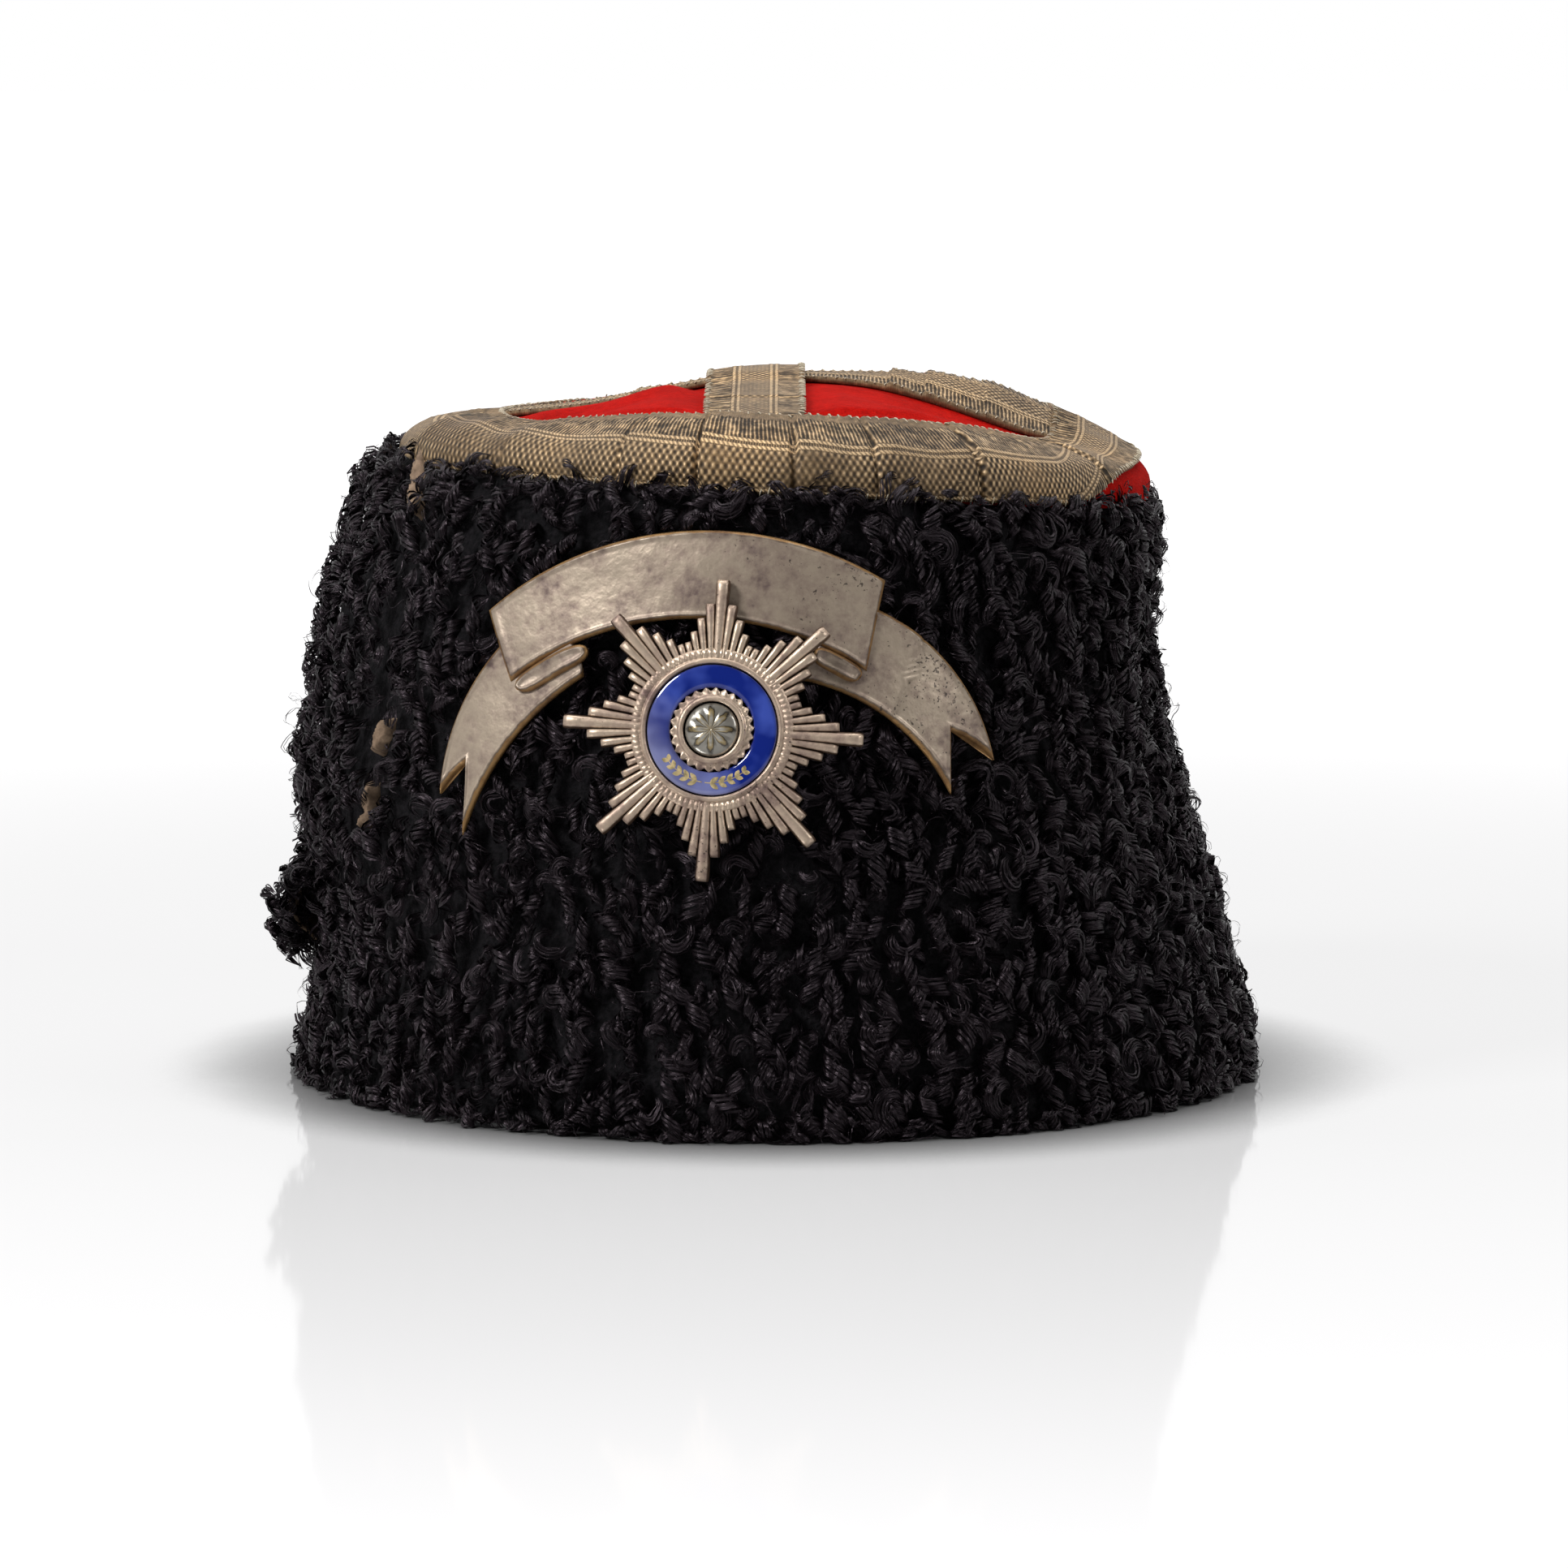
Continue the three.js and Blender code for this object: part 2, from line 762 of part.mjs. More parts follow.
// A ribbon that follows the fur's front. Its rows give two edge points in
// the front view, and layer is how far it lies in front of the tails. A margin
// makes it wider, and clears the space in front of it too.
function ribbonSolid(rows, layer, edgeRise, margin) {
  const profile = edgeRise > 0 && margin === 0 ? edgeProfile : flatProfile
  const back = scrollStandoff + layer - margin
  const front = scrollStandoff + layer + scrollThickness + (margin > 0 ? cutReach : 0)
  const loops = rows.map(({ outer, inner }) => {
    const place = (across, lift) => {
      const spread = mix(-margin, margin, across)
      const spot = outer.clone().lerp(inner, across)
      spot.addScaledVector(inner.clone().sub(outer).normalize(), spread)
      const point = new THREE.Vector3(spot.x, frontDepth(spot.x, spot.y), spot.y)
      return point.addScaledVector(frontOut(spot.x, spot.y), lift)
    }
    const face = profile.map(({ across, rise }) => place(across, front + edgeRise * rise))
    return [...face, place(1, back), place(0, back)]
  })
  return toManifold(loftSolid(loops))
}

function arcPoint(arc, share) {
  const angle = THREE.MathUtils.degToRad(mix(arc.from, arc.to, share))
  const across = arc.across + arc.radius * Math.cos(angle)
  const up = arc.up + arc.radius * Math.sin(angle)
  return new THREE.Vector2(scrollMiddle + scrollWidth * across, scrollTop + scrollWidth * up)
}

function arcRows(arcs, stations, last = 1) {
  const rows = []
  for (let i = 0; i <= stations; i += 1) {
    const share = (last * i) / stations
    rows.push({ outer: arcPoint(arcs.outer, share), inner: arcPoint(arcs.inner, share) })
  }
  return rows
}

// The rolled end of a fold, rounded off at both ends
function foldRows(arcs) {
  const stations = 4
  return arcRows(arcs, stations).map(({ outer, inner }, i) => {
    const round = i % stations === 0 ? foldRounding : 0
    return { outer: outer.clone().lerp(inner, round), inner: inner.clone().lerp(outer, round) }
  })
}

// A tail hangs from behind the panel and ends in two tips with a notch
function tailSolids(arcs, margin) {
  const { root, heel, notch, heelAcross, bendAcross, tipAcross } = tailFork
  const cleft = arcPoint(arcs.outer, notch).lerp(arcPoint(arcs.inner, notch), 0.5)
  const fork = (edge, other) => {
    const start = arcPoint(arcs[edge], heel)
    const bend = arcPoint(arcs[edge], (root + 1) / 2)
    const tip = arcPoint(arcs[edge], 1)
    const rows = [
      { outer: start, inner: start.clone().lerp(arcPoint(arcs[other], heel), heelAcross) },
      { outer: bend, inner: cleft.clone().lerp(tip, bendAcross) },
      { outer: tip, inner: cleft.clone().lerp(tip, tipAcross) },
    ]
    return ribbonSolid(rows, scrollLayers.fork, 0, margin)
  }
  const shaft = ribbonSolid(arcRows(arcs, 4, root), scrollLayers.tail, scrollEdgeRise, margin)
  return [shaft, fork('outer', 'inner'), fork('inner', 'outer')]
}

function scrollPost(margin) {
  const panelMiddle = 0.08
  const spot = { x: scrollMiddle, z: scrollTop - scrollWidth * panelMiddle }
  const out = frontOut(spot.x, spot.z)
  const start = new THREE.Vector3(spot.x, frontDepth(spot.x, spot.z), spot.z)
  return postSolid(start.addScaledVector(out, scrollStandoff + scrollThickness / 2), out, margin)
}

function scrollParts(margin) {
  return [
    ribbonSolid(arcRows(scrollArcs.panel, 10), scrollLayers.panel, scrollEdgeRise, margin),
    ribbonSolid(foldRows(scrollArcs.leftFold), scrollLayers.fold, scrollEdgeRise, margin),
    ribbonSolid(foldRows(scrollArcs.rightFold), scrollLayers.fold, scrollEdgeRise, margin),
    ...tailSolids(scrollArcs.leftTail, margin),
    ...tailSolids(scrollArcs.rightTail, margin),
  ]
}

function postSolid(start, out, margin) {
  const length = postLength + scrollThickness / 2 + margin
  const cylinder = new THREE.CylinderGeometry(postRadius + margin, postRadius + margin, length, 12)
  const turn = new THREE.Quaternion().setFromUnitVectors(new THREE.Vector3(0, 1, 0), out)
  cylinder.applyQuaternion(turn)
  const middle = start.clone().addScaledVector(out, -length / 2)
  cylinder.translate(middle.x, middle.y, middle.z)
  return toManifold(cylinder)
}

function scrollGeometry() {
  return fromManifold(largestBody(wasm.Manifold.union([...scrollParts(0), scrollPost(0)])))
}

function scrollClearance() {
  return wasm.Manifold.union([...scrollParts(cutMargin), scrollPost(postGap)])
}

// The star's own frame: X to the right, Y up the hat's slope, Z outwards
function starFrame() {
  const out = frontOut(starMiddle, starHeight)
  const right = new THREE.Vector3(0, 0, 1).negate().cross(out).normalize()
  const up = out.clone().cross(right).normalize()
  const centre = new THREE.Vector3(starMiddle, frontDepth(starMiddle, starHeight), starHeight)
  centre.addScaledVector(out, starStandoff)
  const matrix = new THREE.Matrix4().makeBasis(right, up, out)
  return { centre, matrix, out }
}

// The struck bars as one fluted body: each bar has a ridge between two edges,
// and all of them rise towards the middle
function starBars() {
  const sections = []
  const barCount = pointCount * (2 * barsBeside + 1)
  const pitch = FULL_TURN / barCount
  const base = new THREE.Vector3(0, 0, 0)
  const top = new THREE.Vector3(0, 0, plateThickness + barDome)
  for (let bar = 0; bar < barCount; bar += 1) {
    const middle = (bar - barsBeside) * pitch + Math.PI / 2 + starTurn
    const row = barRows[Math.abs((bar % (2 * barsBeside + 1)) - barsBeside)]
    const reach = starReach * row.reach
    for (const { side, height } of barProfile) {
      const axis = new THREE.Vector3(0, 0, 1)
      const outwards = new THREE.Vector3(1, 0, 0).applyAxisAngle(axis, middle + side * pitch)
      const length = reach / Math.cos(side * pitch)
      const foot = outwards.clone().multiplyScalar(length)
      const rim = outwards.clone().multiplyScalar(length - height * barRise)
      rim.z = plateThickness + barRise * height
      sections.push([base, foot, rim, top])
    }
  }
  return toManifold(ringSolid(sections, true))
}

function latheManifold(profile, segments) {
  const points = profile.map(([radius, height]) => new THREE.Vector2(radius, height))
  const geometry = new THREE.LatheGeometry(points, segments)
  geometry.rotateX(Math.PI / 2)
  const cleaned = mergeVertices(withoutShading(geometry), 1e-4)
  return toManifold(outwardGeometry(Array.from(cleaned.attributes.position.array), solidTriangles(cleaned)))
}

function withoutShading(geometry) {
  geometry.deleteAttribute('normal')
  geometry.deleteAttribute('uv')
  return geometry
}

function solidTriangles(geometry) {
  const index = geometry.index.array
  const triangles = []
  for (let i = 0; i < index.length; i += 3) {
    const [a, b, c] = [index[i], index[i + 1], index[i + 2]]
    if (a !== b && b !== c && c !== a) {
      triangles.push([a, b, c])
    }
  }
  return triangles
}

// The raised rim round the enamel, with the plate inside it
function starRim() {
  const top = plateThickness + rimRise
  const seat = enamelOuter + restGap
  return latheManifold([
    [0, 0],
    [plateRadius, 0],
    [plateRadius, top - rimLipSlope * 1.3],
    [seat + rimLipWidth + rimLipSlope, top - rimLipSlope],
    [seat + rimLipWidth, top],
    [seat, top],
    [seat, plateThickness],
    [0, plateThickness],
  ], 24)
}

function starWell() {
  const floor = plateThickness * 0.5
  const radius = (plateRadius + enamelOuter) / 2
  return latheManifold([[0, floor], [radius, floor], [radius, cutReach], [0, cutReach]], 24)
}

function starPost(margin) {
  const length = postLength + starStandoff
  const cylinder = new THREE.CylinderGeometry(postRadius + margin, postRadius + margin, length + margin, 12)
  cylinder.rotateX(Math.PI / 2)
  cylinder.translate(0, 0, plateThickness / 2 - (length + margin) / 2)
  return toManifold(cylinder)
}

function starGeometry() {
  return fromManifold(starBars().subtract(starWell()).add(starRim()).add(starPost(0)))
}

function starClearance() {
  const disc = latheManifold([
    [0, -cutMargin],
    [starReach + cutMargin, -cutMargin],
    [starReach + cutMargin, cutReach],
    [0, cutReach],
  ], 24)
  const { centre, matrix } = starFrame()
  const placed = matrix.clone().setPosition(centre)
  const solid = fromManifold(disc.add(starPost(postGap)))
  return toManifold(solid.applyMatrix4(placed))
}

function enamelRing() {
  const edgeRound = 0.25
  const foot = plateThickness + restGap
  const top = foot + enamelThickness
  return fromManifold(latheManifold([
    [enamelInner, foot],
    [enamelOuter, foot],
    [enamelOuter, top - edgeRound],
    [(enamelOuter + enamelInner) / 2, top],
    [enamelInner, top - edgeRound],
    [enamelInner, foot],
  ], 24))
}

// The toothed silver collar round the middle, with its round bezel
function centreCollar() {
  const weldDepth = 0.01
  const foot = plateThickness + restGap
  const outer = enamelInner - restGap
  const corners = 4
  const shape = new THREE.Shape()
  for (let i = 0; i < collarTeeth * corners; i += 1) {
    const angle = (i / (collarTeeth * corners)) * FULL_TURN
    const radius = i % corners < corners / 2 ? outer : outer - collarToothDepth
    shape[i ? 'lineTo' : 'moveTo'](radius * Math.cos(angle), radius * Math.sin(angle))
  }
  shape.closePath()
  shape.holes.push(new THREE.Path().absarc(0, 0, collarInner + bezelWall / 2, 0, FULL_TURN))
  const depth = collarRise * 0.8
  const teeth = new THREE.ExtrudeGeometry(shape, { depth, bevelEnabled: false, curveSegments: 6 })
  teeth.translate(0, 0, foot + weldDepth)
  const floor = foot + collarRise * 0.5
  const bezel = latheManifold([
    [0, foot],
    [collarInner + bezelWall, foot],
    [collarInner + bezelWall, foot + collarRise],
    [collarInner + bezelWall / 2, foot + collarRise + bezelLip],
    [collarInner, foot + collarRise + bezelLip / 2],
    [collarInner, floor],
    [0, floor],
  ], 16)
  return fromManifold(toManifold(teeth).add(bezel))
}

// The plain domed medallion in the middle
function medallion() {
  const foot = plateThickness + restGap + collarRise * 0.5 + restGap
  const edge = foot + medallionEdge
  const radius = collarInner - restGap
  return fromManifold(latheManifold([
    [0, foot],
    [radius, foot],
    [radius, edge],
    [radius * 0.8, edge + medallionDome * 0.45],
    [radius * 0.45, edge + medallionDome * 0.85],
    [0, edge + medallionDome],
  ], 16))
}

// The finished pieces

function furBody() {
  const seamTurn = seamWidth / baseWidth
  const slit = seamWedge(-seamTurn, seamTurn, flapReach * 2, seamDepth)
  return furWall()
    .add(seamFlap())
    .subtract(slit)
    .subtract(crownEnvelope())
    .subtract(scrollClearance())
    .subtract(starClearance())
}

function largestBody(solid) {
  const bodies = solid.decompose()
  return bodies.reduce((best, body) => (body.volume() > best.volume() ? body : best))
}

function crownBody() {
  return crownCloth().subtract(stripClearance(longStrip)).subtract(stripClearance(crossStrip))
}

const materials = {
  fur: new THREE.MeshStandardMaterial({ color: 0x0b0a0c, roughness: 0.55, metalness: 0 }),
  cloth: new THREE.MeshStandardMaterial({ color: 0xc4170c, roughness: 0.95, metalness: 0 }),
  braid: new THREE.MeshStandardMaterial({ color: 0x7a6a4c, roughness: 0.6, metalness: 0.35 }),
  silver: new THREE.MeshStandardMaterial({ color: 0x9a8f86, roughness: 0.35, metalness: 1 }),
  enamel: new THREE.MeshStandardMaterial({ color: 0x0a2a9c, roughness: 0.12, metalness: 0 }),
  medallion: new THREE.MeshStandardMaterial({ color: 0x8d8b80, roughness: 0.15, metalness: 0.3 }),
}

function namedMesh(name, geometry, material) {
  const mesh = new THREE.Mesh(geometry, material)
  mesh.name = name
  return mesh
}

function starGroup() {
  const { centre, matrix } = starFrame()
  const group = new THREE.Group()
  group.position.copy(centre)
  group.quaternion.setFromRotationMatrix(matrix)
  group.add(namedMesh('star', starGeometry(), materials.silver))
  group.add(namedMesh('enamel_ring', enamelRing(), materials.enamel))
  group.add(namedMesh('centre_collar', centreCollar(), materials.silver))
  group.add(namedMesh('medallion', medallion(), materials.medallion))
  return group
}

const papakha = new THREE.Group()
papakha.add(namedMesh('fur_body', fromManifold(largestBody(furBody())), materials.fur))
papakha.add(namedMesh('crown_cloth', fromManifold(largestBody(crownBody())), materials.cloth))
papakha.add(namedMesh('rim_braid', rimBraid(), materials.braid))
papakha.add(namedMesh('long_strip', stripGeometry(longStrip), materials.braid))
papakha.add(namedMesh('cross_strip', stripGeometry(crossStrip), materials.braid))
papakha.add(namedMesh('scroll', scrollGeometry(), materials.silver))
papakha.add(starGroup())

export default papakha
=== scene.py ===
# Papakha of curled black lambskin with a scarlet crown, woven metal braid, a
# ribbon scroll and an eight-pointed star. Lengths in this script are in
# millimetres until a mesh is made; the frame is in metres.

import math

import bpy
import numpy as np
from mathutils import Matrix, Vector


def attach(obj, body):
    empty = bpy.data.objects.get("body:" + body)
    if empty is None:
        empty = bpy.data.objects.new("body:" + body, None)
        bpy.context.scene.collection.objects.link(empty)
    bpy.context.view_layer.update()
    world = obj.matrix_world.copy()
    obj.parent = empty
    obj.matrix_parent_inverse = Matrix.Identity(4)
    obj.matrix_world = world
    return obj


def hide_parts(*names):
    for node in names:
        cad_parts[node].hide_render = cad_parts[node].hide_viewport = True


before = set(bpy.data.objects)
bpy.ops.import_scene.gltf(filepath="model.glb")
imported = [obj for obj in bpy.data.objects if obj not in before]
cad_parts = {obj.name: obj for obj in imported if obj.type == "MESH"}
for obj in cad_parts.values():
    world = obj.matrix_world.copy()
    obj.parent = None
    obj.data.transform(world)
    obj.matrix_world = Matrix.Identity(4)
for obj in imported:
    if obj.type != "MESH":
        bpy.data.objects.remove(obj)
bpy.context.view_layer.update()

MM = 0.001
FULL_TURN = 2 * math.pi
scene = bpy.context.scene

# Camera, from the curve of the rim in the photograph
CAMERA_AIM = (1.9, 0.0, 59.0)
CAMERA_DISTANCE = 1400.0
CAMERA_ELEVATION = math.radians(6.0)
CAMERA_LENS = 152.2

# Sizes that the frame also has
BASE_WIDTH = 205.0
BASE_DEPTH = 228.0
FUR_HEIGHT = 129.0
FUR_EDGE_TILT = 4.0
HEM_WALL = 11.0
UPPER_WALL = 10.0
HIDE_INSET = 5.4
CREST_HEIGHT = 144.6
CROWN_INSET = 5.2
CROWN_OVERHANG = 4.4
CROWN_SEAT_DROP = 4.0
CLOTH_THICKNESS = 2.0
CLOTH_PUFF = 1.5
PUFF_MARGIN = 9.0
CUFF_HEIGHT = 5.0
CUFF_START = 0.75
BRAID_WIDTH = 20.0
BRAID_THICKNESS = 1.1
BRAID_DROP = 0.8
PLEAT_RISE = 0.9
STRIP_OFFSET = -4.0
STRIP_SLANT = -0.12
REST_GAP = 0.3
FAR_OFF = 99.0

# The side of the hat: up is a share of the fur edge's height, and the others
# are shares of half the base width or depth
SIDE_COLUMNS = ("up", "left", "right", "front", "back")
SIDE_ROWS = (
    (0.00, 1.000, 1.000, 1.000, 1.000),
    (0.10, 0.972, 0.988, 0.990, 0.985),
    (0.21, 0.950, 0.948, 0.965, 0.965),
    (0.31, 0.968, 0.918, 0.945, 0.940),
    (0.41, 0.990, 0.878, 0.925, 0.920),
    (0.51, 0.995, 0.842, 0.905, 0.900),
    (0.62, 0.965, 0.806, 0.880, 0.880),
    (0.74, 0.940, 0.786, 0.860, 0.860),
    (0.85, 0.900, 0.796, 0.840, 0.840),
    (0.93, 0.872, 0.798, 0.825, 0.825),
    (1.00, 0.800, 0.775, 0.802, 0.802),
)
side_table = dict(zip(SIDE_COLUMNS, np.array(SIDE_ROWS).T))

# The crown from seat to crest: out is a share of the way from the crest to
# the seat, and the others are shares of the crown's rise
CROWN_COLUMNS = ("out", "right", "front", "left", "back")
CROWN_ROWS = (
    (1.000, 0.00, 0.00, 0.00, 0.00),
    (1.000, 0.14, 0.26, 0.14, 0.20),
    (0.975, 0.27, 0.44, 0.25, 0.32),
    (0.920, 0.39, 0.58, 0.33, 0.42),
    (0.840, 0.54, 0.71, 0.40, 0.50),
    (0.720, 0.72, 0.80, 0.48, 0.60),
    (0.550, 0.92, 0.87, 0.56, 0.73),
    (0.340, 0.99, 0.94, 0.74, 0.88),
    (0.140, 1.00, 0.98, 0.94, 0.98),
    (0.000, 1.00, 1.00, 1.00, 1.00),
)
crown_table = dict(zip(CROWN_COLUMNS, np.array(CROWN_ROWS).T))


# Small tools


def mix(a, b, share):
    return a + (b - a) * share


def smooth(value):
    share = np.clip(value, 0, 1)
    return share * share * (3 - 2 * share)


def unit(vectors):
    return vectors / np.maximum(np.linalg.norm(vectors, axis=-1, keepdims=True), 1e-9)


def edge_height(turn):
    return FUR_HEIGHT - FUR_EDGE_TILT * np.cos(turn)


def side_point(turn, up, inset=0.0):
    """A point on the fur's outer surface, moved inwards by inset."""
    row = {name: np.interp(up, side_table["up"], side_table[name]) for name in SIDE_COLUMNS[1:]}
    cosine = np.cos(turn)
    sine = np.sin(turn)
    across = BASE_WIDTH / 2 * np.where(cosine > 0, row["right"], row["left"]) - inset
    along = BASE_DEPTH / 2 * np.where(sine > 0, row["back"], row["front"]) - inset
    return np.stack([across * cosine, along * sine, up * edge_height(turn)], axis=-1)


def side_frame(turn, up):
    """The surface point, the directions round and up the hat, the way out, and the lengths per unit."""
    step = 0.02
    low = np.clip(up - step, -0.02, 1)
    high = np.clip(up + step, 0, 1.02)
    around = (side_point(turn + step, up) - side_point(turn - step, up)) / (2 * step)
    rise = (side_point(turn, high) - side_point(turn, low)) / (high - low)[..., None]
    lengths = [np.linalg.norm(way, axis=-1) for way in (around, rise)]
    return side_point(turn, up), unit(around), unit(rise), unit(np.cross(around, rise)), *lengths


def make_piece(name, points, quads, uvs, material, slot, replaced=None):
    """A smooth mesh piece from arrays in millimetres; uvs has one row for each corner of each quad."""
    mesh = bpy.data.meshes.new(name)
    points = np.reshape(points, (-1, 3)) * MM
    mesh.vertices.add(len(points))
    mesh.vertices.foreach_set("co", points.ravel())
    mesh.loops.add(quads.size)
    mesh.loops.foreach_set("vertex_index", quads.astype(np.int32).ravel())
    mesh.polygons.add(len(quads))
    mesh.polygons.foreach_set("loop_start", np.arange(0, quads.size, 4, dtype=np.int32))
    mesh.polygons.foreach_set("loop_total", np.full(len(quads), 4, dtype=np.int32))
    mesh.polygons.foreach_set("use_smooth", np.ones(len(quads), dtype=bool))
    layer = mesh.uv_layers.new(name="UVMap")
    layer.data.foreach_set("uv", np.asarray(uvs, dtype=np.float32).ravel())
    mesh.update(calc_edges=True)
    mesh.validate()
    mesh.materials.append(material)
    piece = bpy.data.objects.new(name, mesh)
    scene.collection.objects.link(piece)
    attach(piece, "root")
    if replaced:
        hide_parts(replaced)
    return piece


def grid_quads(rows, columns, wrap_rows=False, wrap_columns=False):
    """Corner numbers of a grid of quads and each corner's place in the grid as (row, column)."""
    i, k = np.meshgrid(
        np.arange(rows if wrap_rows else rows - 1),
        np.arange(columns if wrap_columns else columns - 1),
        indexing="ij",
    )
    corners = [(i, k), (i + 1, k), (i + 1, k + 1), (i, k + 1)]
    quads = np.stack([(a % rows) * columns + b % columns for a, b in corners], axis=-1).reshape(-1, 4)
    places = np.stack([np.stack([a, b], axis=-1) for a, b in corners], axis=2).reshape(-1, 4, 2)
    return quads, places


def grid_piece(name, grid, material, slot, replaced, scale=0.05, **wraps):
    """A piece from rows of points, with texture coordinates that count its rows and columns."""
    quads, places = grid_quads(*grid.shape[:2], **wraps)
    return make_piece(name, grid, quads, places * scale, material, slot, replaced)


def closed_band(outer, inner):
    """Sections of an outer and an inner row of points each, joined to loops."""
    return np.concatenate([outer, inner[:, ::-1]], axis=1)


# Small tools for materials


def feed(tree, value, socket):
    """Link a socket to another node's output, or set it; a colour may leave out its alpha."""
    if isinstance(value, bpy.types.NodeSocket):
        tree.links.new(value, socket)
    elif socket.type == "RGBA":
        socket.default_value = (*value, 1.0)
    else:
        socket.default_value = value


def dress(tree, node, **values):
    """Feed a node's inputs by name; what isn't an input is one of its options."""
    for key, value in values.items():
        name = key.replace("_", " ")
        if name in node.inputs:
            feed(tree, value, node.inputs[name])
        else:
            setattr(node, key, value)


def add_node(tree, kind, *sources, **values):
    """A node with its first inputs fed in order, and others and its options by name."""
    node = tree.nodes.new("ShaderNode" + kind)
    dress(tree, node, **values)
    for source, socket in zip(sources, node.inputs):
        feed(tree, source, socket)
    return node


def new_material(name):
    material = bpy.data.materials.new(name)
    material.use_nodes = True
    tree = material.node_tree
    return material, tree, tree.nodes["Principled BSDF"]


def object_place(tree):
    return add_node(tree, "TexCoord").outputs["Object"]


def texture_place(tree):
    return add_node(tree, "UVMap", uv_map="UVMap").outputs["UV"]


def parts_of(tree, vector):
    return add_node(tree, "SeparateXYZ", vector).outputs


def length_of(tree, vector):
    return add_node(tree, "VectorMath", vector, operation="LENGTH").outputs["Value"]


def noise_of(tree, vector, scale, detail=3.0, roughness=0.55):
    return add_node(tree, "TexNoise", vector, Scale=scale, Detail=detail, Roughness=roughness).outputs["Fac"]


def calc(tree, operation, *values):
    """A Math node's result on sockets or numbers."""
    return add_node(tree, "Math", *values, operation=operation).outputs[0]


def scaled(tree, value, factor, more):
    """value * factor + more"""
    return calc(tree, "MULTIPLY_ADD", value, factor, more)


def map_range(tree, value, start, end, low=0.0, high=1.0, kind="LINEAR"):
    return add_node(tree, "MapRange", value, start, end, low, high, interpolation_type=kind).outputs["Result"]


def band(tree, value, middle, half, soft):
    """1 where value is within half of middle, fading over soft."""
    off = calc(tree, "ABSOLUTE", calc(tree, "SUBTRACT", value, middle))
    return map_range(tree, off, half + soft, half - soft, kind="SMOOTHSTEP")


def wave_of(tree, value, period, shift=0.0):
    return scaled(tree, calc(tree, "SINE", scaled(tree, value, FULL_TURN / period, shift)), 0.5, 0.5)


def ramp(tree, source, *stops):
    """Places and colours, where a grey may be one number."""
    node = add_node(tree, "ValToRGB", source)
    elements = node.color_ramp.elements
    while len(elements) < len(stops):
        elements.new(0.5)
    for element, (place, colour) in zip(elements, stops):
        element.position = place
        element.color = (*np.broadcast_to(colour, 3), 1.0)
    return node.outputs["Color"]


def blend_colours(tree, share, a, b, mode="MIX"):
    node = add_node(tree, "Mix", share, data_type="RGBA", blend_type=mode)
    feed(tree, a, node.inputs[6])
    feed(tree, b, node.inputs[7])
    return node.outputs[2]


def blend_values(tree, share, a, b):
    node = add_node(tree, "Mix", share, data_type="FLOAT")
    feed(tree, a, node.inputs[2])
    feed(tree, b, node.inputs[3])
    return node.outputs[0]


def add_bump(tree, shader, height, strength, distance):
    bump = add_node(tree, "Bump", Strength=strength, Distance=distance, Height=height)
    dress(tree, shader, Normal=bump.outputs["Normal"])


def speckled_material(name, noise, tones, bump, **settings):
    """A plain finish that one noise colours and roughens."""
    material, tree, shader = new_material(name)
    grain = noise_of(tree, object_place(tree), *noise)
    dress(tree, shader, Base_Color=ramp(tree, grain, *tones), **settings)
    if bump:
        add_bump(tree, shader, grain, *bump)
    return material


# The pile is duller on the left of the hat, in metres across it
FUR_MATT_AT = -0.06
FUR_GLOSSY_AT = 0.04
# The pile's colour runs from its own black to a painted highlight, in streaks along the hairs and in patches
# of glinting tufts
FUR_DARK = (0.0006, 0.0004, 0.0007)
FUR_PAINTED_HIGHLIGHT = (0.0095, 0.0068, 0.0082)
FUR_STREAKS = (5.4, 0.2, 1.0)


def fur_material():
    material, tree, shader = new_material("black_curled_pile")
    stretched = add_node(tree, "Mapping", texture_place(tree), Scale=FUR_STREAKS).outputs["Vector"]
    streak = noise_of(tree, stretched, 1.0, 3.0, 0.6)
    place = object_place(tree)
    patches = noise_of(tree, place, 38.0, 2.0, 0.5)
    # Painted highlight: light streaks and patches in the base colour stand in for glints on the hairs
    tone = ramp(tree, blend_colours(tree, 0.5, streak, patches), (0.42, FUR_DARK), (0.66, FUR_PAINTED_HIGHLIGHT))
    rough = ramp(tree, streak, (0.38, 0.44), (0.62, 0.14))
    matt = map_range(tree, parts_of(tree, place)["X"], FUR_MATT_AT, FUR_GLOSSY_AT, 1.15, 0.85)
    dress(tree, shader, Base_Color=tone, Roughness=calc(tree, "MULTIPLY", rough, matt))
    dress(tree, shader, Specular_IOR_Level=0.32, Specular_Tint=(1.0, 0.8, 0.92))
    add_bump(tree, shader, streak, 0.9, 0.00022)
    return material


fur_finish = fur_material()
under_finish = speckled_material(
    "dark_underfur",
    (900.0, 4.0, 0.5),
    ((0.35, (0.002, 0.002, 0.0025)), (0.75, (0.012, 0.01, 0.012))),
    (1.0, 0.0008),
    Roughness=0.9,
    Specular_IOR_Level=0.15,
)
hide_finish = speckled_material(
    "tanned_hide",
    (420.0, 5.0, 0.65),
    ((0.3, (0.12, 0.075, 0.045)), (0.7, (0.34, 0.235, 0.155))),
    (0.7, 0.0004),
    Roughness=0.85,
)


# The lambskin

HIDE_TURNS = 180
HIDE_ROWS = 48
HIDE_INNER_ROWS = 12
HEM_RISE = 0.012
HEM_ROUNDING = 0.8
HEM_FOOT = 0.15

# The open seam at the left: heights as shares of the fur's edge, and places round the hat in degrees
SEAM_ROWS = ((0.26, 205.0), (0.44, 212.5), (0.64, 216.0), (0.84, 214.0), (0.93, 212.0), (1.06, 199.0))
SEAM_FOOT = 0.2
LIP_ROWS = 160
LIP_FOOT = 9.0
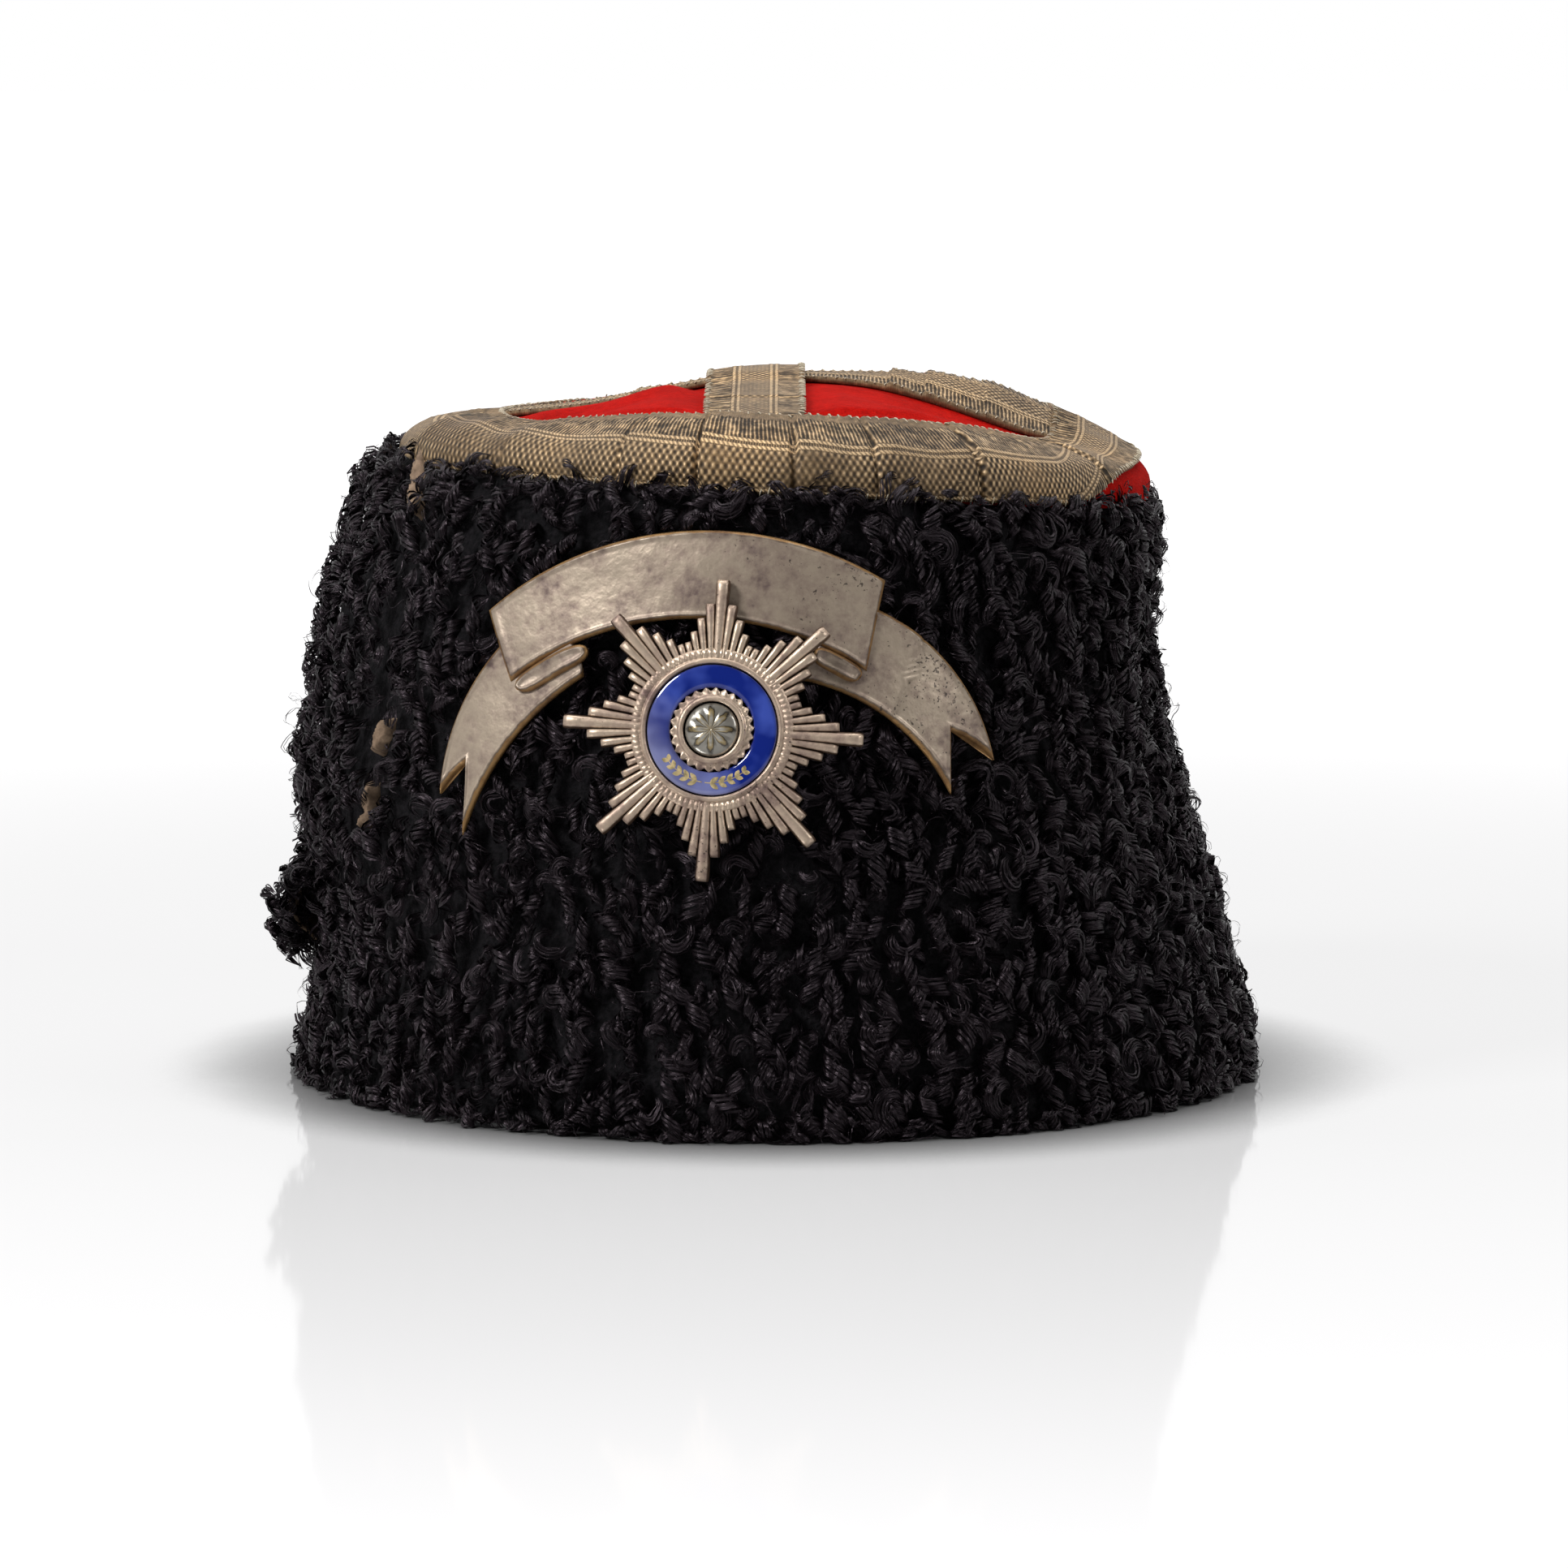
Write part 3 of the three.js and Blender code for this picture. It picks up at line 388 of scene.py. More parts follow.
# Bare hide shows at the seam: heights, half lengths and half widths in millimetres
SEAM_PATCHES = ((124.0, 7.0, 1.05), (73.5, 3.6, 0.95), (60.5, 4.2, 0.6), (55.5, 1.5, 0.8))
# The skin that lifts beside the seam, in millimetres and degrees
FLAP_FOOT = 26.0
FLAP_HEIGHT = 20.0
FLAP_REACH = 11.0
FLAP_HINGE = (171.0, 178.0)
FLAP_EDGE = (186.0, 196.0)


def seam_turn(up):
    ups, degrees = zip(*SEAM_ROWS)
    return np.radians(np.interp(up, ups, degrees))


def seam_gap(turn, up):
    """The way from the seam in millimetres, less than 0 towards the back, and far off below its foot."""
    gap = ((turn - seam_turn(up) + math.pi) % FULL_TURN - math.pi) * BASE_WIDTH / 2
    return np.where(up > SEAM_FOOT, gap, FAR_OFF)


def seam_width(up):
    """How far the curls keep back from the seam."""
    height = up * FUR_HEIGHT
    return sum(half * np.exp(-(((height - at) / length) ** 4)) for at, length, half in SEAM_PATCHES)


def flap_share(turn, up):
    """How far along the flap a place is, from its hinge to its free edge, and how far up it."""
    v = (up * FUR_HEIGHT - FLAP_FOOT) / FLAP_HEIGHT
    hinge = np.radians(mix(*FLAP_HINGE, np.clip(v, 0, 1)))
    edge = np.radians(mix(*FLAP_EDGE, np.clip(v, 0, 1)))
    return (turn % FULL_TURN - hinge) / (edge - hinge), v


def flap_place(s, v):
    """The turn and height of a place on the flap, from shares along it and up it."""
    hinge = mix(*FLAP_HINGE, v)
    return np.radians(hinge + (mix(*FLAP_EDGE, v) - hinge) * s), (FLAP_FOOT + FLAP_HEIGHT * v) / FUR_HEIGHT


def flap_rise(s, v):
    return FLAP_REACH * np.sin(math.pi * mix(0.12, 0.93, v)) * mix(1, 0.8, v) * np.clip(s, 0, 1) ** 1.2


def skin_lift(turn, up):
    """How far the skin stands out: the flap, and a swelling beside the seam."""
    s, v = flap_share(turn, up)
    flap = np.where((s > 0) & (s < 1) & (v > 0) & (v < 1), flap_rise(s, np.clip(v, 0, 1)), 0)
    gap = seam_gap(turn, up)
    swell = 1.4 * np.exp(-((gap / 6) ** 2)) * (gap < 0)
    return np.maximum(flap, swell * smooth((up - 0.3) / 0.1) * smooth((0.95 - up) / 0.1))


def flap_layer(name, top, bottom, finish):
    """One layer of the lifted flap between two depths, with a torn edge."""
    s, v = np.meshgrid(np.linspace(-0.08, 0.9, 26), np.linspace(0.02, 0.98, 30), indexing="ij")
    ragged = 0.07 * np.sin(v * 31) * np.sin(v * 17 + 1) * s
    point, _, _, out, _, _ = side_frame(*flap_place(s + ragged, v))
    outer, inner = (point + out * (flap_rise(s, v) - depth)[..., None] for depth in (top, bottom))
    ends = (outer + inner)[[0, -1]] / 2
    ends = closed_band(ends, ends)
    loops = np.concatenate([ends[:1], closed_band(outer, inner), ends[-1:]])
    grid_piece(name, loops, finish, "fur", "fur_body", wrap_columns=True)


def flap_piece():
    """The lifted flap: dark underfur over its bare hide."""
    flap_layer("flap_underfur", 3.4, 4.3, under_finish)
    flap_layer("torn_flap", 4.32, 5.2, hide_finish)


def seam_lips_piece():
    """The bare hide along the open seam: two rough lips with a dark slit between."""
    up = np.linspace(SEAM_FOOT + 0.02, 1.0, LIP_ROWS)[:, None]
    side = np.linspace(-1, 1, 13)[None, :]
    bare = seam_width(up)
    reach = (0.9 * bare + 0.5) * side * (1 + 0.25 * np.sin(up * 173 + 2 * side))
    rough = 0.55 * np.sin(up * 310 + 3 * side) * np.sin(up * 137 + 5 * side)
    point, around, _, out, _, _ = side_frame(seam_turn(up) + 0 * side, up + 0 * side)
    height = mix(-7.6, -2.9, smooth(bare / 0.7)) + 0.8 * np.cos(side * 1.4) + rough
    spread = point + around * reach[..., None]
    loops = closed_band(spread + out * height[..., None], (spread - out * LIP_FOOT)[:, [0, -1]])
    grid_piece("seam_lips", loops, hide_finish, "fur", "fur_body", wrap_columns=True)


def hide_piece():
    """The hide under the curls: a hollow wall with a rounded hem and a lip under the crown."""
    turn = np.linspace(0, FULL_TURN, HIDE_TURNS, endpoint=False)[:, None]
    up = np.linspace(0, 1, HIDE_ROWS)[None, :]
    inner_up = np.linspace(0.93, 0, HIDE_INNER_ROWS)[None, :]
    hem = np.full_like(turn, HEM_RISE)
    inset = HIDE_INSET + 0.35 * np.sin(9 * turn + 14 * up) * np.sin(23 * turn - 31 * up)
    outer = side_point(turn, up, inset)
    outer[:, :1] = side_point(turn, hem, HIDE_INSET + HEM_ROUNDING)
    inner = side_point(turn, inner_up, mix(HEM_WALL, UPPER_WALL, inner_up))
    inner[:, -1:] = side_point(turn, hem, HEM_WALL - HEM_ROUNDING)
    bottom = side_point(turn, 0 * hem, (HIDE_INSET + HEM_WALL) / 2)
    bottom[..., 2] = HEM_FOOT
    walls = np.concatenate([outer, inner, bottom], axis=1)
    grid_piece("lambskin_hide", walls, under_finish, "fur", "fur_body", wrap_rows=True, wrap_columns=True)


def envelope(share, attack, release):
    return np.clip(share / attack, 0, 1) ** 0.6 * np.clip((1 - share) / release, 0, 1) ** 0.7


def curl_paths(locks, samples):
    """The middle lines of ringlets with the direction away from each one's axis."""
    share = np.linspace(0, 1, samples)[None, :]
    count = len(locks["turn"])

    def column(name):
        return locks[name][:, None]

    *_, per_turn, per_up = side_frame(locks["turn"], locks["up"])
    way = column("length") * share
    sway = column("sway") * np.sin(FULL_TURN * share * column("waves") + column("phase"))
    lateral = way * np.sin(column("slant")) + sway * np.cos(column("slant"))
    down = way * np.cos(column("slant")) - sway * np.sin(column("slant"))
    turn = column("turn") + lateral / per_turn[:, None]
    up = column("up") - down / per_up[:, None]
    held = np.clip(up, 0, 1.0)
    point, around, rise, out, _, _ = side_frame(turn, held)
    point = point + rise * ((up - held) * per_up[:, None])[..., None]
    across = around * np.cos(column("slant"))[..., None] + rise * np.sin(column("slant"))[..., None]
    angle = column("phase") + column("hand") * FULL_TURN * way / column("pitch")
    swell = mix(0.6, 1.0, smooth(share / 0.2)) * mix(1.0, 0.6, smooth((share - 0.6) / 0.4))
    radius = column("radius") * swell
    bury = column("root") * (1 - smooth(share / 0.15)) + column("tip") * smooth((share - 0.8) / 0.2)
    lift = column("lift") - bury
    away = across * np.cos(angle)[..., None] + out * np.sin(angle)[..., None]
    lift = lift + skin_lift(locks["turn"], locks["up"])[:, None]
    path = point + out * lift[..., None] + away * radius[..., None]
    return path, away, np.broadcast_to(share, (count, samples))


def ring_paths(locks, samples):
    """The middle lines of curls that lie flat on the others as open rings."""
    share = np.linspace(0, 1, samples)[None, :]
    point, around, rise, out, _, _ = side_frame(locks["turn"], locks["up"])
    angle = locks["phase"][:, None] + locks["hand"][:, None] * FULL_TURN * locks["turns"][:, None] * share
    reach = locks["radius"][:, None] * mix(1.0, 0.45, share) * mix(1.25, 1.0, smooth(share / 0.2))
    spoke = around[:, None] * np.cos(angle)[..., None] + rise[:, None] * np.sin(angle)[..., None]
    arch = locks["lift"][:, None] + locks["arch"][:, None] * np.sin(np.pi * share)
    arch = arch + skin_lift(locks["turn"], locks["up"])[:, None]
    path = point[:, None] + spoke * reach[..., None] + out[:, None] * arch[..., None]
    away = unit(out[:, None] + 0.45 * spoke)
    return path, away, np.broadcast_to(share, angle.shape)


def strand_ribbons(path, away, share, strands, spread, width, rng, frizz=0.12):
    """Each lock as a bundle of thin ribbons side by side, with streak coordinates."""
    count, samples, _ = path.shape
    tangent = unit(np.gradient(path, axis=1))
    broad = unit(np.cross(tangent, away))
    deep = unit(np.cross(broad, tangent))
    place = (np.arange(strands) + 0.5) / strands * 2 - 1
    place = place[None, :] + rng.uniform(-0.35, 0.35, (count, strands)) / strands * 2
    gather = mix(0.45, 1.0, smooth(share / 0.25)) * mix(1.0, 0.35, smooth((share - 0.65) / 0.35))
    crown = -0.55 * place**2 + rng.normal(0, 0.16, (count, strands))
    ripple = rng.uniform(0, FULL_TURN, (count, strands, 1))
    beat = rng.uniform(1.0, 3.0, (count, strands, 1))
    wobble = frizz * np.sin(FULL_TURN * beat * share[:, None, :] + ripple)
    sideways = spread[:, None, None] * place[:, :, None] * gather[:, None, :] + wobble
    outwards = crown[:, :, None] * gather[:, None, :] + 0.6 * wobble
    centre = path[:, None] + broad[:, None] * sideways[..., None] + deep[:, None] * outwards[..., None]
    roll = rng.normal(0, 0.35, (count, strands, 1, 1)) - 0.75 * place[:, :, None, None]
    flat = broad[:, None] * np.cos(roll) + deep[:, None] * np.sin(roll)
    body = envelope(share, 0.1, 0.3)[:, None, :, None]
    half = width * rng.uniform(0.7, 1.3, (count, strands, 1, 1)) / 2 * body
    points = np.stack([centre - flat * half, centre + flat * half], axis=3)
    quads, places = grid_quads(samples, 2)
    total = count * strands
    base = (np.arange(total) * samples * 2)[:, None, None]
    all_quads = (quads[None] + base).reshape(-1, 4)
    along = np.linspace(0, samples * 0.6, samples)[places[:, :, 0]][None]
    along = along + rng.uniform(0, 500, (total, 1, 1))
    around = places[None, :, :, 1] * width + rng.uniform(0, 90, (total, 1, 1))
    uvs = np.stack([np.broadcast_to(around, along.shape), along], axis=-1).reshape(-1, 4, 2)
    return points.reshape(-1, 3), all_quads, uvs


def press_under_badges(points):
    """Curls that would come through the badges lie flat behind them."""
    limit = badge_limit(points[:, 0], points[:, 2])
    proud = front_depth(points[:, 0], points[:, 2]) - points[:, 1]
    covered = (points[:, 1] < 0) & (limit < 50)
    points[:, 1] += np.where(covered, np.maximum(0, proud - limit), 0)
    return points


# The badges' outlines in the front view, which the curls lie behind

SCROLL_MIDDLE = -12.0
SCROLL_TOP = 118.8
SCROLL_WIDTH = 110.6
STAR_MIDDLE = -11.7
STAR_HEIGHT = 79.8
STAR_REACH = 29.6
STAR_TURN = math.radians(-3)
BAR_REACHES = (1.0, 0.84, 0.75, 0.67, 0.61)
POINT_COUNT = 8
BARS_BESIDE = 4

# across, up and radius in shares of SCROLL_WIDTH; from and to in degrees
SCROLL_ARCS = {
    "panel": ((-0.007, -0.589, 0.589, 132.3, 58.0), (-0.027, -0.681, 0.526, 129.7, 55.4)),
    "left_tail": ((-0.044, -0.513, 0.453, 126.0, 173.5), (0.061, -0.712, 0.538, 119.0, 160.5)),
    "right_tail": ((0.118, -0.490, 0.392, 72.0, 14.5), (0.080, -0.637, 0.383, 79.0, 29.0)),
    "left_fold": ((-0.027, -0.681, 0.524, 130.0, 112.5), (-0.027, -0.681, 0.488, 129.0, 113.0)),
    "right_fold": ((-0.027, -0.681, 0.526, 66.5, 55.5), (-0.027, -0.681, 0.492, 66.0, 56.0)),
}


def arc_points(arc, shares, widen=0.0):
    across, up, radius, start, end = arc
    angle = np.radians(mix(start, end, shares))
    length = radius * SCROLL_WIDTH + widen
    x = SCROLL_MIDDLE + SCROLL_WIDTH * across + length * np.cos(angle)
    z = SCROLL_TOP + SCROLL_WIDTH * up + length * np.sin(angle)
    return np.stack([x, z], axis=-1)


def inside_polygon(x, z, polygon):
    inside = np.zeros(x.shape, dtype=bool)
    previous = polygon[-1]
    for corner in polygon:
        crosses = (corner[1] > z) != (previous[1] > z)
        rise = previous[1] - corner[1]
        at = corner[0] + (z - corner[1]) * (previous[0] - corner[0]) / (rise if rise else 1e-9)
        inside ^= crosses & (x < at)
        previous = corner
    return inside


def front_depth(x, z):
    """The fur's front surface (y) under places of the front view."""
    up = np.clip(z / FUR_HEIGHT, 0, 1)
    left = np.interp(up, side_table["up"], side_table["left"])
    right = np.interp(up, side_table["up"], side_table["right"])
    half_width = BASE_WIDTH / 2 * np.where(x > 0, right, left)
    half_depth = BASE_DEPTH / 2 * np.interp(up, side_table["up"], side_table["front"])
    return -half_depth * np.sqrt(np.maximum(0, 1 - (x / half_width) ** 2))


def badge_limit(x, z):
    """How far the fur may stand out at places of the front view."""
    limit = np.full(x.shape, FAR_OFF)
    shares = np.linspace(0, 1, 24)
    for outer, inner in SCROLL_ARCS.values():
        rim = arc_points(outer, shares, 0.6)
        foot = arc_points(inner, shares, -0.6)
        polygon = np.vstack([rim, foot[::-1]])
        limit = np.where(inside_polygon(x, z, polygon), -1.4, limit)
    dx = x - STAR_MIDDLE
    dz = z - STAR_HEIGHT
    reach = star_reach(np.arctan2(dz, dx)) + 0.7
    return np.where((np.hypot(dx, dz) < reach) & (limit > 50), 1.3, limit)


def star_reach(angle):
    """The star's reach at angles of the front view."""
    bars = 2 * BARS_BESIDE + 1
    pitch = FULL_TURN / (POINT_COUNT * bars)
    place = np.round((angle - math.pi / 2 - STAR_TURN) / pitch).astype(int)
    beside = np.abs((place + BARS_BESIDE) % bars - BARS_BESIDE)
    return STAR_REACH * np.array(BAR_REACHES)[beside]


def off_seam(turn, up):
    """Roots that leave the hide bare where the open seam shows it."""
    bare = seam_width(up)
    kept = np.abs(seam_gap(turn, up)) > bare + 1.3 * smooth(bare / 0.5) + 0.3
    return turn[kept], up[kept]


def spread_roots(rng, spacing_round, spacing_up, low, high, start=0.0, end=FULL_TURN):
    """Jittered rows of root places between two heights."""
    turns = []
    ups = []
    rows = int((high - low) * FUR_HEIGHT / spacing_up)
    for row in range(rows):
        up = low + (row + 0.5) / rows * (high - low)
        girth = (end - start) / FULL_TURN * math.pi * (BASE_WIDTH + BASE_DEPTH) / 2 * mix(1.0, 0.8, up)
        count = int(girth / spacing_round)
        places = (np.arange(count) + 0.5 * (row % 2) + rng.uniform(-0.38, 0.38, count)) / count
        turns.append(start + (end - start) * places)
        ups.append(up + rng.uniform(-0.4, 0.4, count) * (high - low) / rows)
    return off_seam(np.concatenate(turns), np.clip(np.concatenate(ups), 0.0, 1.0))


def swing(turn, up):
    return 0.5 * np.sin(7 * turn + 9 * up) + 0.4 * np.sin(17 * turn - 13 * up + 1.3)


def gloss_side(turn):
    """1 on the right of the hat, where the locks are fuller, and less on its left."""
    return smooth((np.cos(turn) + 0.7) / 1.2)


def ringlet_locks(rng, turn, up):
    count = len(turn)
    fullness = mix(0.8, 1.1, gloss_side(turn))
    radius = rng.uniform(1.1, 2.7, count) * fullness
    clump = 0.9 * np.sin(23 * turn + 5 * swing(turn, up)) * np.sin(31 * up + 4 * swing(up, turn))
    return {
        "turn": turn,
        "up": up,
        "length": rng.uniform(8.5, 15.5, count) * fullness,
        "radius": radius,
        "pitch": rng.uniform(5.6, 9.8, count),
        "slant": 0.4 * swing(turn, up) + rng.normal(0, 0.4, count),
        "sway": rng.uniform(0.3, 1.2, count),
        "waves": rng.uniform(0.5, 1.1, count),
        "phase": rng.uniform(0, FULL_TURN, count),
        "hand": rng.choice([-1.0, 1.0], count),
        "lift": -radius - 0.55 + clump + rng.normal(0, 0.4, count),
        "root": rng.uniform(1.6, 3.0, count),
        "tip": rng.uniform(0.6, 2.2, count),
    }


def keep_on_floor(points):
    """Curls rest on the floor."""
    low = points[:, 2] < 0.5
    points[low, 2] = 0.5 - 0.35 * (1 - np.exp((points[low, 2] - 0.5) / 1.5))
    return points


def pile_piece(name, paths, strands, spreads, width, rng, frizz=0.12):
    points, quads, uvs = strand_ribbons(*paths, strands, spreads, width, rng, frizz)
    points = keep_on_floor(press_under_badges(points))
    make_piece(name, points, quads, uvs, fur_finish, "fur", "fur_body")


def curl_piece(name, rng, locks, strands, spread, width, samples, frizz=0.12):
    paths = curl_paths(locks, samples)
    spreads = spread * rng.uniform(0.8, 1.2, len(locks["turn"]))
    pile_piece(name, paths, strands, spreads, width, rng, frizz)


def ring_piece(name, rng, strands, spread, width, samples):
    turn, up = spread_roots(rng, 7.8, 10.2, 0.03, 0.985)
    count = len(turn)
    locks = {
        "turn": turn,
        "up": up,
        "radius": rng.uniform(1.8, 4.4, count) * mix(0.75, 1.1, gloss_side(turn)),
        "turns": rng.uniform(0.4, 0.85, count),
        "phase": rng.uniform(0, FULL_TURN, count),
        "hand": rng.choice([-1.0, 1.0], count),
        "lift": rng.uniform(-3.2, -1.6, count),
        "arch": rng.uniform(1.0, 2.6, count),
    }
    pile_piece(name, ring_paths(locks, samples), strands, np.full(count, spread), width, rng)


ROW_BANDS = (
    ("lowest", 0.03, 0.26),
    ("lower", 0.26, 0.50),
    ("upper", 0.50, 0.75),
    ("highest", 0.75, 1.0),
)

# Short curls over the upper edge and along the hem: ranges of their
# lengths, slants, radii, depths and root depths
EDGE_RANGES = ((6, 10), (1.1, 2.1), (0.9, 1.8), (0.2, 2.2), (0.4, 1.2))
HEM_RANGES = ((5, 9), (1.2, 1.9), (1.0, 1.9), (0.0, 1.2), (0.3, 1.0))


def short_locks(rng, turn, up, lengths, slants, radii, depths, roots):
    locks = ringlet_locks(rng, turn, up)
    count = len(turn)
    locks["length"] = rng.uniform(*lengths, count)
    locks["slant"] = rng.choice([-1.0, 1.0], count) * rng.uniform(*slants, count)
    locks["radius"] = rng.uniform(*radii, count)
    locks["lift"] = -locks["radius"] - rng.uniform(*depths, count)
    locks["root"] = rng.uniform(*roots, count)
    return locks


def edge_locks(rng):
    """Curls that lie over the upper edge, against the braid."""
    turn, up = spread_roots(rng, 2.5, 3.0, 0.965, 0.99)
    return short_locks(rng, turn, up - 0.012 * smooth((np.cos(turn) - 0.4) / 0.3), *EDGE_RANGES)


def hem_locks(rng):
    """Curls that lie along the hem, down to the floor."""
    return short_locks(rng, *spread_roots(rng, 3.2, 2.6, 0.004, 0.026), *HEM_RANGES)


def flap_locks(rng):
    """Curls that cover the lifted flap and hang over its free edge."""
    v, s = (row.ravel() for row in np.meshgrid(np.linspace(0.06, 0.94, 9), np.linspace(0.3, 0.99, 7)))
    v = v + rng.uniform(-0.04, 0.04, len(v))
    locks = ringlet_locks(rng, *flap_place(s + rng.uniform(-0.04, 0.0, len(s)), v))
    locks["length"] = rng.uniform(5, 9, len(v))
    locks["slant"] = rng.uniform(-0.3, 2.2, len(v))
    locks["lift"] = -locks["radius"] + rng.uniform(-0.6, 0.8, len(v))
    return locks


def flyaway_locks(rng):
    """Single fine hairs that stand off in loops."""
    turn, up = spread_roots(rng, 7.8, 6.6, 0.01, 1.0)
    locks = ringlet_locks(rng, turn, up)
    count = len(turn)
    locks["radius"] = rng.uniform(0.9, 2.3, count)
    locks["lift"] = rng.normal(-0.9, 0.9, count)
    locks["length"] = rng.uniform(3, 9, count)
    locks["slant"] = rng.uniform(-1.6, 1.6, count)
    return locks


def lambskin():
    hide_piece()
    flap_piece()
    seam_lips_piece()
    rng = np.random.default_rng(5)
    for name, low, high in ROW_BANDS:
        turn, up = spread_roots(rng, 5.0, 6.6, low, high)
        curl_piece(f"curls_{name}", rng, ringlet_locks(rng, turn, up), 7, 2.1, 0.52, 15)
    ring_piece("curls_rings", rng, 8, 1.7, 0.38, 12)
    curl_piece("curls_flap", rng, flap_locks(rng), 8, 1.6, 0.44, 15)
    curl_piece("curls_hem", rng, hem_locks(rng), 6, 1.2, 0.44, 12)
    curl_piece("curls_edge", rng, edge_locks(rng), 7, 1.3, 0.42, 14)
    curl_piece("curls_flyaway", rng, flyaway_locks(rng), 2, 0.4, 0.15, 11, 0.25)


lambskin()


FELT_TONES = (
    (0.3, (0.22, 0.0015, 0.0008)),
    (0.5, (0.43, 0.003, 0.0012)),
    (0.72, (0.61, 0.009, 0.004)),
)


def felt_material():
    material, tree, shader = new_material("scarlet_felt")
    place = object_place(tree)
    nap = noise_of(tree, place, 2600.0, 4.0, 0.7)
    fluff = noise_of(tree, place, 620.0)
    fibres = scaled(tree, nap, 0.6, calc(tree, "MULTIPLY", fluff, 0.4))
    tone = ramp(tree, fibres, *FELT_TONES)
    worn = ramp(tree, noise_of(tree, place, 48.0), (0.38, 0.78), (0.6, 1.0))
    dress(tree, shader, Base_Color=blend_colours(tree, 1.0, tone, worn, "MULTIPLY"), Roughness=0.95)
    dress(tree, shader, Specular_IOR_Level=0.05, Sheen_Weight=0.07, Sheen_Tint=(1.0, 0.12, 0.08))
    add_bump(tree, shader, fibres, 0.7, 0.0005)
    return material


# The woven braid across its width, in millimetres from one edge
CORD_PLACES = (5.6, 6.7, 13.3, 14.4)
CHECK_MIDDLE = 10.0
CHECK_HALF = 2.9
RIB_PLACES = (3.0, 17.0)
RIB_HALF = 2.2
LIP_PLACES = (0.3, 19.7)
CHECK_PITCH = 1.4
CHECK_COLUMN = 0.82
RIB_PITCH = 0.82
WEFT_PITCH = 0.5
CORD_PITCH = 0.9
# Colours from dark to light by the weave's height: painted shade in its hollows and painted highlight on its
# raised threads
BRAID_SHADED_TONES = (
    (0.10, (0.018, 0.011, 0.005)),
    (0.34, (0.072, 0.045, 0.021)),
    (0.54, (0.215, 0.142, 0.073)),
    (0.86, (0.70, 0.50, 0.29)),
)
TARNISH = ((0.3, (0.52, 0.47, 0.40)), (0.48, (0.88, 0.86, 0.82)), (0.66, (1.22, 1.14, 1.0)))
VERDIGRIS = (0.085, 0.095, 0.06)


def weave_height(tree, place, along, across):
    """The braid's checks, ribs, weft, cords and edges as one height."""
    waves = [
        calc(tree, "SUBTRACT", wave, 0.5)
        for wave in (wave_of(tree, along, CHECK_PITCH), wave_of(tree, across, CHECK_COLUMN * 2, 0.6))
    ]
    worn_dots = scaled(tree, noise_of(tree, place, 75.0), 3.0, -0.35)
    dots = scaled(tree, calc(tree, "MULTIPLY", *waves), worn_dots, 0.5)
    gathers = scaled(tree, noise_of(tree, place, 420.0, 2.0), 1.1, -0.35)
    ribs = scaled(tree, wave_of(tree, scaled(tree, across, 0.1, along), RIB_PITCH), 0.5, gathers)
    check = band(tree, across, CHECK_MIDDLE, CHECK_HALF, 0.25)
    rib = calc(tree, "ADD", *(band(tree, across, middle, RIB_HALF, 0.2) for middle in RIB_PLACES))
    height = scaled(tree, wave_of(tree, along, WEFT_PITCH), 0.25, 0.3)
    height = blend_values(tree, check, height, dots)
    height = blend_values(tree, rib, height, ribs)
    twist = scaled(tree, wave_of(tree, scaled(tree, across, 0.9, along), CORD_PITCH), 0.35, 0.55)
    raised = [(cord, 0.36, 0.16, twist) for cord in CORD_PLACES]
    raised += [(lip, 0.5, 0.2, 0.5) for lip in LIP_PLACES]
    for middle, half, soft, rise in raised:
        ridge = calc(tree, "MULTIPLY", band(tree, across, middle, half, soft), rise)
        height = calc(tree, "MAXIMUM", height, ridge)
    return height


def braid_material():
    material, tree, shader = new_material("tarnished_metal_braid")
    place = object_place(tree)
    uv = parts_of(tree, texture_place(tree))
    shake = scaled(tree, noise_of(tree, place, 300.0, 2.0), 0.5, -0.25)
    along = calc(tree, "ADD", uv["X"], shake)
    height = weave_height(tree, place, along, scaled(tree, shake, 0.35, uv["Y"]))
    # Painted shade and highlight: by the weave's height, its hollows are coloured near black and its raised
    # threads light
    lit = scaled(tree, noise_of(tree, place, 900.0), 0.5, calc(tree, "SUBTRACT", height, 0.25))
    tarnish = ramp(tree, noise_of(tree, place, 34.0, 4.0, 0.6), *TARNISH)
    aged = blend_colours(tree, 1.0, ramp(tree, lit, *BRAID_SHADED_TONES), tarnish, "MULTIPLY")
    green = ramp(tree, noise_of(tree, place, 21.0), (0.62, 0.0), (0.74, 0.45))
    rough = ramp(tree, height, (0.2, 0.75), (0.9, 0.42))
    colour = blend_colours(tree, green, aged, VERDIGRIS)
    dress(tree, shader, Base_Color=colour, Roughness=rough, Metallic=0.3)
    add_bump(tree, shader, height, 0.9, 0.0005)
    return material


felt_finish = felt_material()
braid_finish = braid_material()
thread_finish = speckled_material(
    "pale_linen_thread",
    (1500.0,),
    ((0.3, (0.30, 0.25, 0.17)), (0.7, (0.62, 0.55, 0.42))),
    (0.6, 0.0002),
    Roughness=0.7,
)


# The crown

CROWN_NAMES = ("right", "front", "left", "back")


def crown_weights(turn):
    cosine = np.cos(turn)
    sine = np.sin(turn)
    return {
        "right": np.maximum(0, cosine) ** 2,
        "left": np.maximum(0, -cosine) ** 2,
        "back": np.maximum(0, sine) ** 2,
        "front": np.maximum(0, -sine) ** 2,
    }


def seat_point(turn):
    overhang = CROWN_OVERHANG * np.maximum(0, np.cos(turn)) ** 2
    seat = side_point(turn, np.ones_like(turn), CROWN_INSET - overhang)
    seat[..., 2] = edge_height(turn) - CROWN_SEAT_DROP
    return seat


